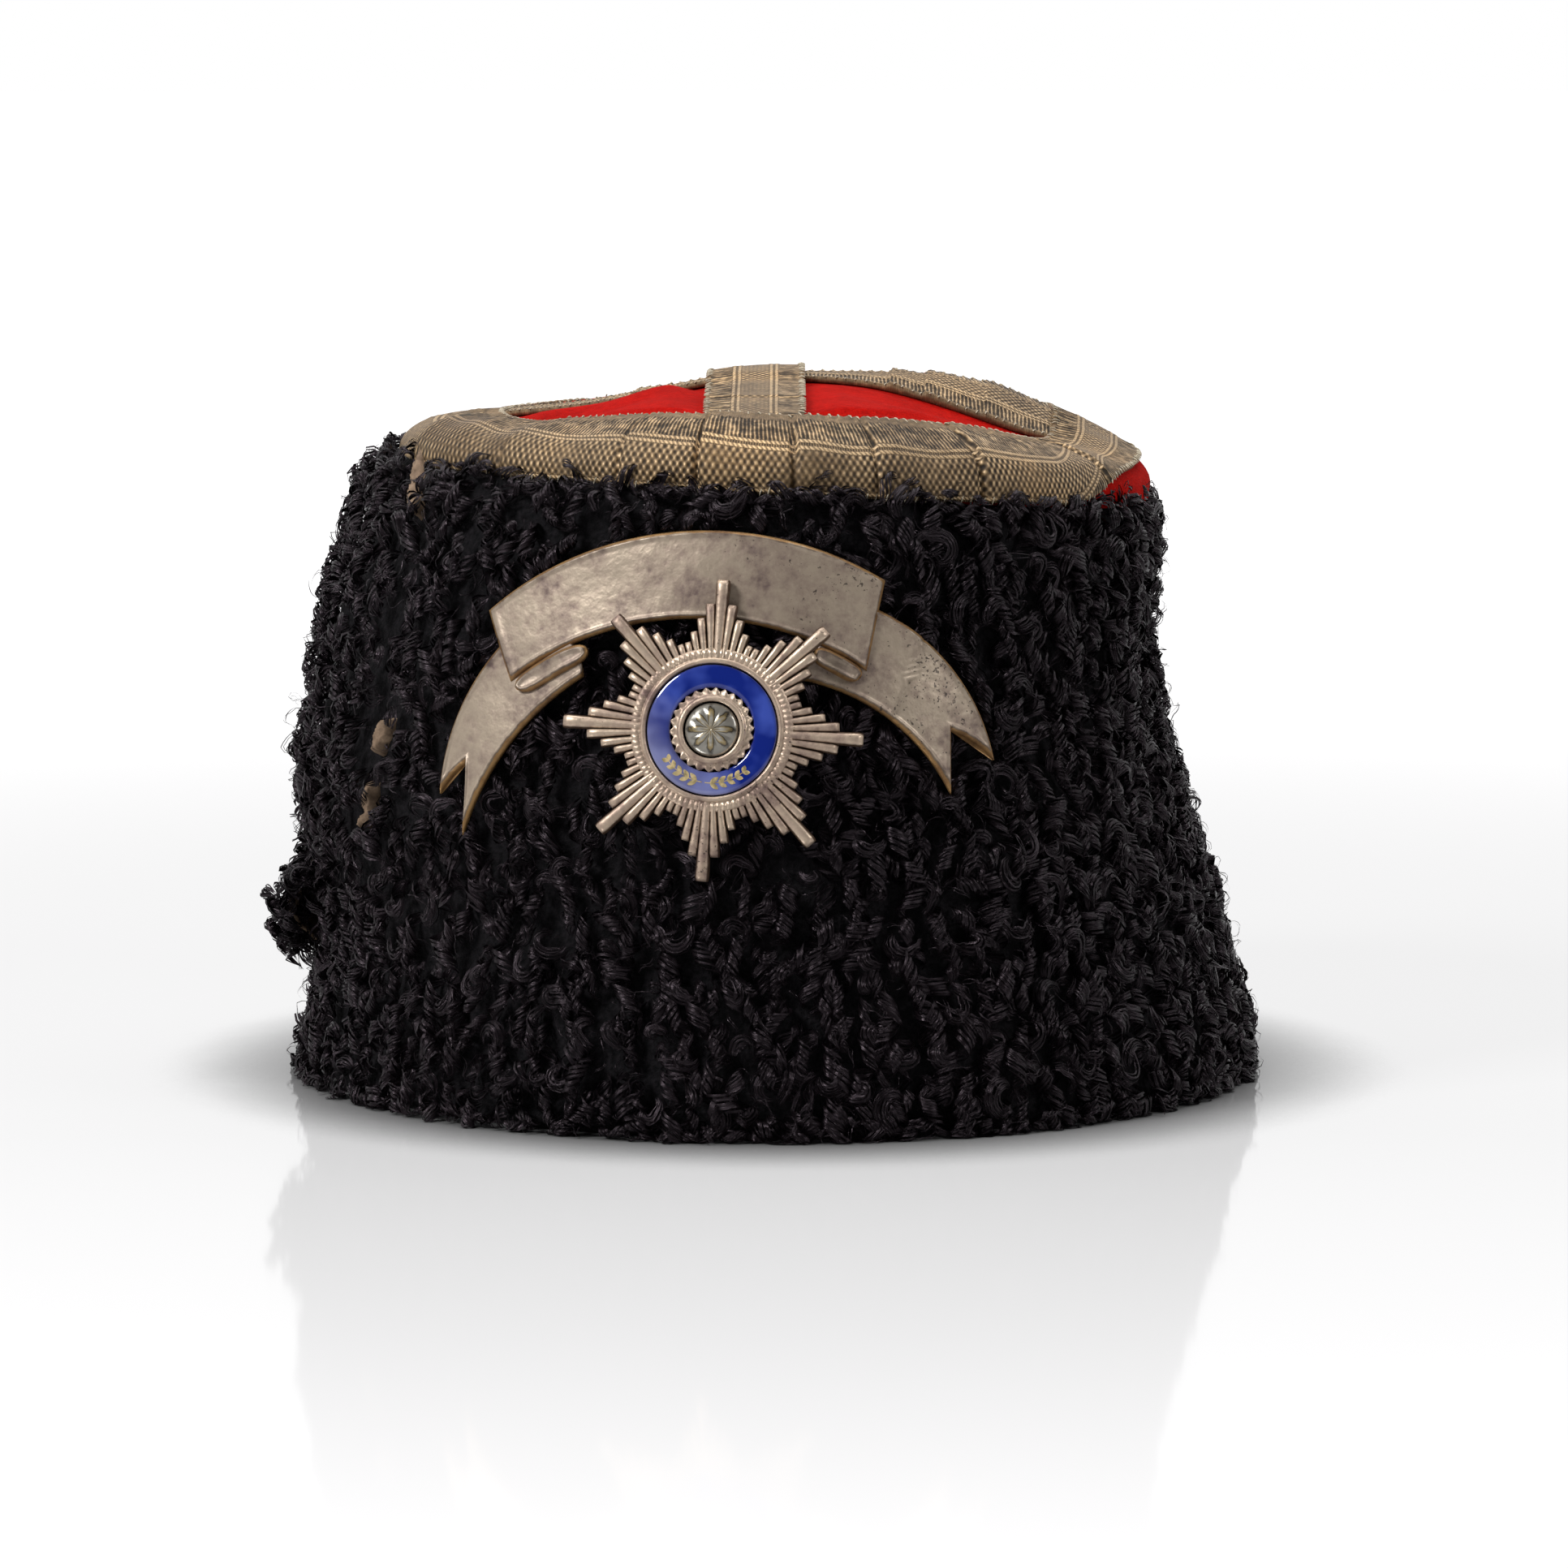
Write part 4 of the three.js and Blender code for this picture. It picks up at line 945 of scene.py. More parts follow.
def crown_meridians(turn, samples=90):
    """Curves from the seat to the crest, a centripetal spline through the crown's rows."""
    seat = seat_point(turn)
    weights = crown_weights(turn)
    rise = sum(weights[name][:, None] * crown_table[name][None, :] for name in CROWN_NAMES)
    out = crown_table["out"][None, :]
    knots = np.stack([seat[:, :1] * out, seat[:, 1:2] * out, mix(seat[:, 2:], CREST_HEIGHT, rise)], axis=-1)
    before = 2 * knots[:, :1] - knots[:, 1:2]
    after = 2 * knots[:, -1:] - knots[:, -2:-1]
    knots = np.concatenate([before, knots, after], axis=1)
    gaps = np.maximum(np.linalg.norm(np.diff(knots, axis=1), axis=-1), 1e-6) ** 0.5
    places = np.linspace(0, knots.shape[1] - 3, samples)
    index = np.minimum(places.astype(int), knots.shape[1] - 4)
    share = (places - index)[None, :, None]
    p0, p1, p2, p3 = (knots[:, index + step] for step in range(4))
    d0, d1, d2 = (gaps[:, index + step, None] for step in range(3))
    start = ((p1 - p0) / d0 - (p2 - p0) / (d0 + d1) + (p2 - p1) / d1) * d1
    end = ((p2 - p1) / d1 - (p3 - p1) / (d1 + d2) + (p3 - p2) / d2) * d1
    cubic = 2 * p1 - 2 * p2 + start + end
    square = -3 * p1 + 3 * p2 - 2 * start - end
    return p1 + share * (start + share * (square + share * cubic))


def crown_place(turn, distance):
    """Points on the crown at lengths from the seat, their way out, and each meridian's length."""
    line = crown_meridians(turn)
    way = unit(np.gradient(line, axis=1))
    steps = np.linalg.norm(np.diff(line, axis=1), axis=-1)
    run = np.concatenate([np.zeros((len(turn), 1)), np.cumsum(steps, axis=1)], axis=1)
    point = np.empty(distance.shape + (3,))
    tangent = np.empty_like(point)
    for i in range(len(turn)):
        for axis in range(3):
            point[i, :, axis] = np.interp(distance[i], run[i], line[i, :, axis])
            tangent[i, :, axis] = np.interp(distance[i], run[i], way[i, :, axis])
    outward = np.stack([np.cos(turn), np.sin(turn), np.zeros_like(turn)], axis=-1)[:, None, :]
    inward = -np.sum(tangent * outward, axis=-1, keepdims=True)
    out = outward * tangent[..., 2:] + np.array([0, 0, 1.0]) * inward
    return point, unit(out), run[:, -1]


def crown_length(turn):
    line = crown_meridians(turn)
    return np.linalg.norm(np.diff(line, axis=1), axis=-1).sum(axis=1)


def braid_foot(turn):
    shown = smooth((np.cos(turn) - CUFF_START) / (1 - CUFF_START))
    return CROWN_SEAT_DROP - BRAID_DROP + CUFF_HEIGHT * shown


# across, along, and their spans in shares of the crown's half sizes, and lift
CROWN_FOLDS = (
    (0.42, -0.34, 0.30, 0.16, -1.3),
    (-0.30, -0.20, 0.16, 0.14, 0.9),
    (-0.55, -0.30, 0.20, 0.12, -0.7),
    (0.35, 0.45, 0.22, 0.20, 0.5),
    (-0.40, 0.50, 0.20, 0.18, -0.6),
)
CROWN_TURNS = 240
CROWN_RINGS = 72
# The crown sags at two places: across and along in millimetres, depth and half width
CROWN_SAGS = ((46, -19, 6.6, 23), (-48, -30, 2.0, 20))


def crown_sag(point):
    """The right of the crown droops towards its front, and the left a little."""
    x, y = point[..., 0], point[..., 1]
    drop = 0
    for at_x, at_y, depth, span in CROWN_SAGS:
        reach = np.where(y < at_y, 30, 12)
        drop = drop + depth * np.exp(-(((x - at_x) / span) ** 2) - ((y - at_y) / reach) ** 2)
    point[..., 2] -= drop
    return point


def cloth_lift(x, y):
    half_across = BASE_WIDTH / 2 * side_table["right"][-1]
    half_along = BASE_DEPTH / 2 * side_table["front"][-1]
    from_long = np.abs(x - STRIP_OFFSET) - BRAID_WIDTH / 2
    from_cross = np.abs(y - STRIP_SLANT * x) - BRAID_WIDTH / 2
    free = smooth(from_long / PUFF_MARGIN) * smooth(from_cross / PUFF_MARGIN)
    lift = np.ones_like(x)
    for fold_across, fold_along, span_across, span_along, height in CROWN_FOLDS:
        across = (x / half_across - fold_across) / span_across
        along = (y / half_along - fold_along) / span_along
        lift = lift + height * np.exp(-(across**2) - along**2)
    creases = 0.22 * np.sin(x * 0.31 + 0.8 * np.sin(y * 0.13)) * np.sin(y * 0.23 + 1.1)
    return (CLOTH_PUFF * lift + creases) * free


def crown_piece():
    turn = np.arange(CROWN_TURNS) / CROWN_TURNS * FULL_TURN
    length = crown_length(turn)
    share = np.linspace(0, 1, CROWN_RINGS)
    distance = share[None, :] * length[:, None]
    point, out, _ = crown_place(turn, distance)
    past = distance - (braid_foot(turn) + BRAID_WIDTH)[:, None]
    lift = cloth_lift(point[..., 0], point[..., 1]) * smooth(past / PUFF_MARGIN)
    front = smooth((-np.sin(turn) - 0.8) / 0.15)[:, None]
    tuck = front * (1.2 * np.exp(-(((past - 2.4) / 1.5) ** 2)) - 1.3 * np.exp(-(((past - 5.4) / 1.3) ** 2)))
    outer = point.copy()
    outer[..., 2] += lift + tuck
    inner = point - out * CLOTH_THICKNESS
    inner[..., 2] += lift
    rings = crown_sag(np.concatenate([outer[:, ::-1], inner[:, ::6]], axis=1))
    piece = grid_piece("crown_felt", rings, felt_finish, "cloth", "crown_cloth", 0.01, wrap_rows=True)


# Where each pleat of the rim braid starts, in degrees, how far it runs, and its height
RIM_PLEATS = (
    (259.0, 13, 1.9),
    (247.0, 8, 0.5),
    (273.4, 12, 0.8),
    (286.0, 12, 0.5),
    (303.0, 18, 0.9),
    (330.0, 14, 0.6),
    (8.0, 16, 0.7),
    (41.0, 22, 0.9),
    (88.0, 20, 1.0),
    (133.0, 24, 0.8),
    (171.0, 16, 0.7),
    (203.0, 18, 0.9),
    (226.0, 12, 0.7),
)
SLIT_DEPTH = 1.22
SLIT_DEGREES = 0.9


def pleat_height(degrees):
    height = np.zeros_like(degrees)
    slit = np.zeros_like(degrees)
    for start, run, share in RIM_PLEATS:
        past = (degrees - start) % 360
        height = np.where(past < run, np.maximum(height, share * (1 - past / run)), height)
        before = (start - degrees) % 360
        slit = np.where(before < SLIT_DEGREES, np.maximum(slit, min(share, 1.0)), slit)
    return PLEAT_RISE * height - SLIT_DEPTH * slit


def braid_relief(across, along):
    """The height of the braid's cords and gathers over its flat face."""
    relief = 0.18 * np.exp(-(((np.minimum(across, BRAID_WIDTH - across) - 0.45) / 0.5) ** 2))
    for cord in CORD_PLACES:
        relief = relief + 0.16 * np.exp(-(((across - cord) / 0.42) ** 2))
    gathers = np.sin(along * 2.9 + 0.8 * np.sin(along * 0.41)) * smooth((across - 12.5) / 3.5)
    return relief + 0.13 * gathers


BRAID_TURNS = 960
BRAID_ROWS = 30
STRIP_ROWS = 190
STRIP_TUCK = 1.2
BRIDGE_TOP = BRAID_WIDTH * 0.64
BRIDGE_FOOT = BRAID_WIDTH * 1.05
STITCH_PITCH = 2.1
STITCH_SIDES = 5
FOOT_DROP = 2.6
HIDDEN_SHARE = 0.3
GATHER_CURVE = 1.6
LEFT_BULGE = 2.6
LEFT_BULGE_AT = math.radians(206)


def end_caps(rows, columns):
    """Quads that close both ends of a band, and their places."""
    near = np.arange(columns // 2 - 1)
    loop = np.stack([near, near + 1, columns - 2 - near, columns - 1 - near], axis=-1)
    start = np.stack([np.zeros_like(loop), loop[:, ::-1]], axis=-1)
    end = np.stack([np.full_like(loop, rows - 1), loop], axis=-1)
    places = np.concatenate([start, end])
    return places[..., 0] * columns + places[..., 1], places


def braid_uvs(places, along, across_front, inner_count):
    """Texture places for the corners of a band's quads, in millimetres along and across."""
    across_all = np.concatenate([across_front, np.linspace(across_front[-1], across_front[0], inner_count)])
    count = len(across_all)
    column = places[:, :, 1] % count
    return np.stack([along[places[:, :, 0]], across_all[column]], axis=-1)


def rim_braid_piece():
    turn = np.arange(BRAID_TURNS) / BRAID_TURNS * FULL_TURN
    across = np.linspace(0, BRAID_WIDTH, BRAID_ROWS)
    hidden = FOOT_DROP * (1 - smooth((np.cos(turn) - CUFF_START) / 0.2))[:, None]
    distance = braid_foot(turn)[:, None] - hidden + across[None, :] * (1 + hidden / BRAID_WIDTH)
    point, out, _ = crown_place(turn, distance)
    middle = point[:, BRAID_ROWS // 2]
    steps = np.linalg.norm(np.diff(middle, axis=0, append=middle[:1]), axis=1)
    along = np.concatenate([[0], np.cumsum(steps)])
    share = across / BRAID_WIDTH
    fullness = 0.55 + 0.45 * np.cos(np.pi * (share - 0.35))
    pleats = pleat_height(np.degrees(turn))[:, None] * fullness[None, :]
    buckle = 0.35 * np.sin(turn * 19 + 2 * np.sin(turn * 5))[:, None] * np.sin(np.pi * share)[None, :]
    height = REST_GAP + BRAID_THICKNESS + pleats + buckle + braid_relief(across[None, :], along[:-1, None])
    bulge = LEFT_BULGE * np.exp(-(((turn - LEFT_BULGE_AT) / 0.3) ** 2))[:, None]
    bulge = bulge * np.sin(np.pi * (0.12 + 0.8 * share))
    outer = crown_sag(point + out * (height + bulge)[..., None])
    inner_columns = np.array([0, BRAID_ROWS // 2, BRAID_ROWS - 1])
    inner = crown_sag(point[:, inner_columns] + out[:, inner_columns] * 0.1)
    sections = closed_band(outer, inner)
    quads, places = grid_quads(BRAID_TURNS, sections.shape[1], wrap_rows=True, wrap_columns=True)
    uvs = braid_uvs(places, along, across, len(inner_columns))
    shown = np.append(1 - hidden[:, 0] / FOOT_DROP, 1)[places[:, :, 0]]
    from_top = (BRAID_WIDTH - uvs[..., 1]) / BRAID_WIDTH
    gathered = (1 - HIDDEN_SHARE) * from_top**GATHER_CURVE
    uvs[..., 1] = BRAID_WIDTH * (1 - mix(gathered, from_top, shown))
    piece = make_piece("woven_rim", sections, quads, uvs, braid_finish, "braid", "rim_braid")
    return outer


def crown_top(x, y):
    """The bare crown's height over places of its top."""
    turn = np.arctan2(y, x)
    line = crown_meridians(turn)
    radius = np.hypot(line[..., 0], line[..., 1])
    wanted = np.hypot(x, y)
    return np.array([np.interp(wanted[i], radius[i, ::-1], line[i, ::-1, 2]) for i in range(len(turn))])


def strip_reach(turn):
    point, _, _ = crown_place(turn, (braid_foot(turn) + BRAID_WIDTH)[:, None])
    return np.hypot(point[:, 0, 0], point[:, 0, 1])


# starts along the strip in millimetres from its middle, runs and heights
STRIP_PLEATS = {
    "long_strip": ((-52.0, 9, 0.4), (30.0, 12, 0.5)),
    "cross_strip": ((24.0, 7, 0.8), (32.0, 8, 0.8), (44.0, 9, 0.5), (-30.0, 9, 0.6)),
}


# Each strip's middle and direction, and how high it bridges the other
STRIPS = (
    ("long_strip", (STRIP_OFFSET, 0.0), (0.0, 1.0), BRAID_THICKNESS + REST_GAP),
    ("cross_strip", (0.0, 0.0), (1.0, STRIP_SLANT), 0.0),
)


def strip_piece(name, node, origin, direction, hump, pleats):
    """A strip of braid over the crown from one side of the rim braid to the other."""
    direction = np.array(direction) / np.linalg.norm(direction)
    side = np.array([-direction[1], direction[0]])
    across = np.linspace(0, BRAID_WIDTH, BRAID_ROWS)
    ends = []
    for sign in (-1, 1):
        s, w = np.meshgrid(np.arange(0, 100, 0.5), np.linspace(-0.5, 0.5, 5) * BRAID_WIDTH, indexing="ij")
        spot = np.array(origin) + sign * s[..., None] * direction + w[..., None] * side
        turn = np.arctan2(spot[..., 1], spot[..., 0])
        limit = strip_reach(turn.ravel()).reshape(turn.shape) + STRIP_TUCK
        inside = np.hypot(spot[..., 0], spot[..., 1]) < limit
        reach = s[np.argmin(inside, axis=0), 0]
        ends.append(sign * np.interp(across - BRAID_WIDTH / 2, w[0], reach))
    share = np.linspace(0, 1, STRIP_ROWS)[:, None]
    s = mix(ends[0][None, :], ends[1][None, :], share)
    w = np.broadcast_to(across - BRAID_WIDTH / 2, s.shape)
    along = s[:, BRAID_ROWS // 2]
    spot = np.array(origin) + s[..., None] * direction + w[..., None] * side
    top = crown_top(spot[..., 0].ravel(), spot[..., 1].ravel()).reshape(s.shape)
    bridge = hump * smooth((BRIDGE_FOOT - np.abs(s)) / (BRIDGE_FOOT - BRIDGE_TOP))
    rise = np.zeros_like(along)
    for start, run, height in pleats:
        past = along - start
        rise = np.where((past >= 0) & (past < run), np.maximum(rise, height * (1 - past / run)), rise)
    tucked = smooth(np.minimum(s - ends[0], ends[1] - s) / (2 * STRIP_TUCK)) - 1
    height = top + REST_GAP + bridge + 0.9 * tucked
    relief = braid_relief(across[None, :], along[:, None]) + rise[:, None]
    outer = crown_sag(np.concatenate([spot, (height + BRAID_THICKNESS + relief)[..., None]], axis=-1))
    inner = crown_sag(np.concatenate([spot, height[..., None]], axis=-1))
    sections = closed_band(outer, inner)
    quads, places = grid_quads(len(along), sections.shape[1], wrap_columns=True)
    cap_quads, cap_places = end_caps(len(along), sections.shape[1])
    quads = np.concatenate([quads, cap_quads])
    uvs = braid_uvs(np.concatenate([places, cap_places]), along, across, BRAID_ROWS)
    piece = make_piece(name, sections, quads, uvs, braid_finish, "braid", node)
    return outer


def stitch_paths(edge, inner, pitch, rng):
    """Short stitches that cross an edge: two rows of points, on the edge and inside it."""
    steps = np.linalg.norm(np.diff(edge, axis=0), axis=1)
    run = np.concatenate([[0], np.cumsum(steps)])
    places = np.arange(pitch / 2, run[-1], pitch)
    places = places + rng.uniform(-0.3, 0.3, len(places))
    start = np.stack([np.interp(places, run, edge[:, axis]) for axis in range(3)], axis=-1)
    inside = np.stack([np.interp(places + 0.5, run, inner[:, axis]) for axis in range(3)], axis=-1)
    way = unit(inside - start)
    return start, way


def stitch_piece(name, rows, rng, length=1.5, radius=0.17):
    """Small round stitches; rows are pairs of an edge line and the line beside it."""
    paths = []
    for edge, inner in rows:
        start, way = stitch_paths(edge, inner, STITCH_PITCH, rng)
        upward = unit(np.array([0, -0.35, 1.0]))
        share = np.linspace(0, 1, 5)[None, :, None]
        arch = 0.2 * np.sin(np.pi * share)
        sway = rng.normal(0, 0.12, (len(start), 1, 3))
        path = start[:, None] + way[:, None] * (share - 0.22) * length
        paths.append(path + upward * (arch - 0.02) + sway * share)
    path = np.concatenate(paths)
    count, samples, _ = path.shape
    tangent = unit(np.gradient(path, axis=1))
    broad = unit(np.cross(tangent, np.array([0.1, -0.3, 1.0])))
    deep = np.cross(broad, tangent)
    angle = np.arange(STITCH_SIDES) / STITCH_SIDES * FULL_TURN
    body = radius * np.sin(np.pi * np.linspace(0.08, 0.92, samples)) ** 0.5
    ring = broad[:, :, None] * np.cos(angle)[:, None] + deep[:, :, None] * np.sin(angle)[:, None]
    points = path[:, :, None] + ring * body[None, :, None, None]
    quads, places = grid_quads(samples, STITCH_SIDES, wrap_columns=True)
    base = (np.arange(count) * samples * STITCH_SIDES)[:, None, None]
    quads = (quads[None] + base).reshape(-1, 4)
    make_piece(name, points, quads, np.tile(places * 0.1, (count, 1, 1)), thread_finish, "braid")


def crown():
    crown_piece()
    rim = rim_braid_piece()
    rim = np.vstack([rim, rim[:1]])
    rows = [(rim[:, -1], rim[:, -3]), (rim[:, 0], rim[:, 2])]
    for name, origin, direction, hump in STRIPS:
        outer = strip_piece(f"woven_{name}", name, origin, direction, hump, STRIP_PLEATS[name])
        rows += [(outer[:, 0], outer[:, 2]), (outer[:, -1], outer[:, -3])]
    stitch_piece("edge_stitches", rows, np.random.default_rng(11))


crown()


# The badges

SCROLL_THICKNESS = 1.0
SCROLL_STANDOFF = -0.8
SCROLL_LAYERS = {"panel": 0.4, "left_tail": 0.0, "right_tail": 0.0, "left_fold": 0.75, "right_fold": 0.75}
TAIL_NOTCH = 0.8
TIP_REACH = 1.06
RIBBON_STARTS = {"left_tail": 0.1}
BEAD_PLACE = 0.8
BEAD_HALF = 0.34
BEAD_RISE = 0.36
STAR_STANDOFF = 2.0
PLATE_RADIUS = 16.0
MEDALLION_RADIUS = 5.3
BAR_TOP = 1.85
RIBBON_COLUMNS = np.concatenate(
    [np.linspace(0, 0.14, 10), np.linspace(0.2, 0.8, 9), np.linspace(0.86, 1, 10)]
)


def badge_depth(x, z):
    """The fur's front, evened out so that metal over it bends smoothly."""
    return sum(front_depth(x, z + step) * share for step, share in ((-7, 0.25), (0, 0.5), (7, 0.25)))


def front_out(x, z):
    slope_x = badge_depth(x + 0.5, z) - badge_depth(x - 0.5, z)
    slope_z = (badge_depth(x, z + 4) - badge_depth(x, z - 4)) / 8
    return unit(np.stack([slope_x, -np.ones_like(x), slope_z], axis=-1))


def on_front(spot, lift):
    """Points that stand out from the fur's front by lift."""
    x, z = spot[..., 0], spot[..., 1]
    return np.stack([x, badge_depth(x, z), z], axis=-1) + front_out(x, z) * lift[..., None]


def ribbon_shell(name, notch, rows=90):
    """One ribbon of the scroll: its points, quads and the distance of each corner from its edge."""
    outer_arc, inner_arc = SCROLL_ARCS[name]
    across = RIBBON_COLUMNS[None, :]
    tail = "tail" in name
    reach = notch + (TIP_REACH - notch) * np.abs(2 * across - 1) if tail else 1 + 0 * across
    share = mix(RIBBON_STARTS.get(name, 0) * across**3, reach, np.linspace(0, 1, rows)[:, None])
    outer = arc_points(outer_arc, share)
    inner = arc_points(inner_arc, share)
    if "fold" in name:
        rounding = np.sqrt(np.maximum(0, 1 - np.abs(2 * share - 1) ** 5))[..., None]
        middle = (outer + inner) / 2
        outer = middle + (outer - middle) * rounding
        inner = middle + (inner - middle) * rounding
    width = np.linalg.norm(outer - inner, axis=-1)
    length = SCROLL_WIDTH * outer_arc[2] * math.radians(abs(outer_arc[4] - outer_arc[3]))
    off_end = (reach - share) * length * (0.6 if notch < 1 else 1.0)
    off_start = share * length if notch == 1 else np.full_like(share, 9.0)
    edge = np.minimum(np.minimum(across, 1 - across) * width, np.minimum(off_end, off_start))
    bead = BEAD_RISE * np.exp(-(((edge - BEAD_PLACE) / BEAD_HALF) ** 2))
    bead = bead - 0.4 * np.maximum(0, 1 - edge / 0.45) ** 2
    buckle = 0.25 * np.sin(share * 9 + 2) * np.sin(np.pi * across)
    if name == "right_tail":
        crease = (share - mix(0.4, 0.54, across)) / 0.012
        buckle = buckle - 0.4 * np.exp(-(crease**2)) + 0.3 * smooth(0.5 - crease / 2)
        buckle = buckle - 0.6 * smooth((0.34 - share) / 0.16)
    base = SCROLL_STANDOFF + SCROLL_LAYERS[name]
    face = base + SCROLL_THICKNESS + bead + buckle
    spot = mix(outer, inner, across[..., None])
    front = on_front(spot, face)
    columns = np.searchsorted(RIBBON_COLUMNS, (0.0, 0.5, 1.0))
    back = on_front(spot[:, columns], np.full((rows, 3), base))
    end = on_front(spot, np.full_like(face, base + 0.05))
    front = np.concatenate([end[:1], front, end[-1:]])
    back = np.concatenate([back[:1], back, back[-1:]])
    loops = closed_band(front, back)
    quads, places = grid_quads(rows + 2, loops.shape[1], wrap_columns=True)
    edge = np.pad(edge, ((1, 1), (0, 3)))
    along = np.arange(rows + 2) * length / rows
    row, column = places[..., 0], places[..., 1] % loops.shape[1]
    return loops.reshape(-1, 3), quads, np.stack([edge[row, column], along[row]], axis=-1)


def joined(parts):
    """Several shells as one."""
    base = np.cumsum([0] + [len(points) for points, _, _ in parts[:-1]])
    points = np.concatenate([points for points, _, _ in parts])
    quads = np.concatenate([quads + first for (_, quads, _), first in zip(parts, base)])
    return points, quads, np.concatenate([uvs for _, _, uvs in parts])


def scroll_piece():
    shells = [ribbon_shell(name, TAIL_NOTCH if "tail" in name else 1.0) for name in SCROLL_LAYERS]
    make_piece("silver_scroll", *joined(shells), scroll_finish, "silver", "scroll")


def star_place(local):
    """Points of the star's own frame, set on the hat."""
    x, z = np.array(STAR_MIDDLE), np.array(STAR_HEIGHT)
    out = front_out(x, z)
    right = unit(np.cross([0, 0, 1.0], out))
    up = np.cross(out, right)
    centre = np.array([STAR_MIDDLE, front_depth(x, z), STAR_HEIGHT]) + out * STAR_STANDOFF
    return centre + local[..., :1] * right + local[..., 1:2] * up + local[..., 2:] * out


def star_bars():
    """Struck bars with rounded tops and bevelled ends, higher towards the middle of each point."""
    rows, columns = 12, 9
    share = np.concatenate([np.linspace(0, 0.93, rows - 4), [0.955, 0.98, 0.995, 1.0]])[:, None]
    side = np.linspace(-1, 1, columns)[None, :]
    shells = []
    per_point = 2 * BARS_BESIDE + 1
    pitch = FULL_TURN / (POINT_COUNT * per_point)
    for bar in range(POINT_COUNT * per_point):
        beside = abs(bar % per_point - BARS_BESIDE)
        turn = (bar - BARS_BESIDE) * pitch + math.pi / 2 + STAR_TURN
        first = PLATE_RADIUS - 2
        reach = STAR_REACH * BAR_REACHES[beside]
        radius = first + (reach - first) * share
        half = radius * pitch * 0.5 if beside else mix(0.95, 1.4, share)
        bevel = np.clip((reach - radius) / 0.9, 0, 1) ** 0.5
        crest = BAR_TOP + 0.3 * (1 - share) + (0.35 if beside == 0 else 0.1 * (BARS_BESIDE - beside))
        flute = np.sqrt(np.maximum(0, 1 - np.abs(side) ** 2.6))
        height = mix(0.5, crest, mix(0.35, 1.0, flute) * mix(0.35, 1.0, bevel))
        across = side * half * mix(0.8, 1.0, bevel)
        x = radius * np.cos(turn) - across * np.sin(turn)
        z = radius * np.sin(turn) + across * np.cos(turn)
        point = np.stack([x, z, height], axis=-1)
        foot = point * [1, 1, 0]
        loops = np.concatenate([foot[:, :1], point, foot[:, -1:]], axis=1)
        end = loops[-1:] * [1, 1, 0]
        loops = np.concatenate([loops, end])
        quads, places = grid_quads(rows + 1, columns + 2, wrap_columns=True)
        groove = np.concatenate([[1.0], np.abs(side[0]), [1.0]])
        along = np.append(radius[:, 0], reach)
        off_groove = 3 - 3 * groove[places[..., 1] % (columns + 2)]
        uvs = np.stack([off_groove, along[places[..., 0]] + 7 * bar], axis=-1)
        shells.append((loops.reshape(-1, 3), quads, uvs))
    return joined(shells)


def lathe(profile, segments, shape=None):
    """A turned shell; shape(angle, radius, height) may move its points."""
    rows = np.array(profile, dtype=float).T
    radius, height = (np.broadcast_to(row, (segments, len(profile))) for row in rows)
    angle = (np.arange(segments) / segments * FULL_TURN)[:, None]
    if shape:
        radius, height = shape(angle, radius, height)
    points = np.stack([radius * np.cos(angle), radius * np.sin(angle), height], axis=-1)
    quads, _ = grid_quads(segments, len(profile), wrap_rows=True, wrap_columns=True)
    flat = points[..., :2].reshape(-1, 2)
    return points.reshape(-1, 3), quads, flat[quads]


def beaded(angle, radius, height):
    zone = np.exp(-(((radius - 15.0) / 0.55) ** 4))
    return radius, height + 0.3 * zone * np.abs(np.sin(angle * 44)) - 0.12 * zone


def ruffled(angle, radius, height):
    share = np.clip((radius - 6.9) / 1.1, 0, 1)
    wave = np.sin(angle * 26 + 0.5 * np.sin(angle * 5))
    return radius + 0.32 * share * wave, height + 0.3 * share * np.cos(angle * 26)


def petalled(angle, radius, height):
    share = np.clip(radius / MEDALLION_RADIUS, 0, 1)
    petals = 0.28 * np.abs(np.cos(angle * 4)) * np.exp(-(((share - 0.52) / 0.22) ** 2))
    return radius, height + petals + 0.2 * np.exp(-((share / 0.13) ** 2))


# Radius and height along each turned piece, in millimetres
RIM_PROFILE = (
    (14.2, 0.3), (16, 0.0), (16.1, 1.9), (15.9, 2.2), (15.5, 2.3), (15.2, 2.35), (14.9, 2.35),
    (14.6, 2.3), (14.35, 2.2), (14.2, 2.25), (14.05, 2.6), (13.8, 2.78), (13.5, 2.8), (13.25, 2.7),
    (13.1, 2.4), (13.1, 1.1), (13, 0.6),
)
ENAMEL_PROFILE = (
    (8.3, 1.3), (12.8, 1.3), (12.8, 2.1), (12.6, 2.25), (12, 2.34), (11, 2.41), (10.2, 2.42),
    (9.3, 2.38), (8.6, 2.28), (8.3, 2.1),
)
COLLAR_PROFILE = (
    (5.6, 1.9), (5.6, 3.2), (5.75, 3.42), (6.05, 3.5), (6.4, 3.42), (6.65, 3.2), (6.72, 2.75),
    (7.0, 2.62), (7.4, 2.55), (7.8, 2.5), (8.0, 2.35), (8.0, 1.35), (6.5, 1.3),
)
DOME_PROFILE = (
    (5.3, 2.4), (5.2, 2.75), (4.9, 3.05), (4.4, 3.3), (3.8, 3.48), (3.2, 3.6), (2.6, 3.68),
    (2, 3.74), (1.4, 3.79), (0.8, 3.82), (0.3, 3.83), (0.01, 3.83), (0.01, 2.0), (5.2, 2.0),
)
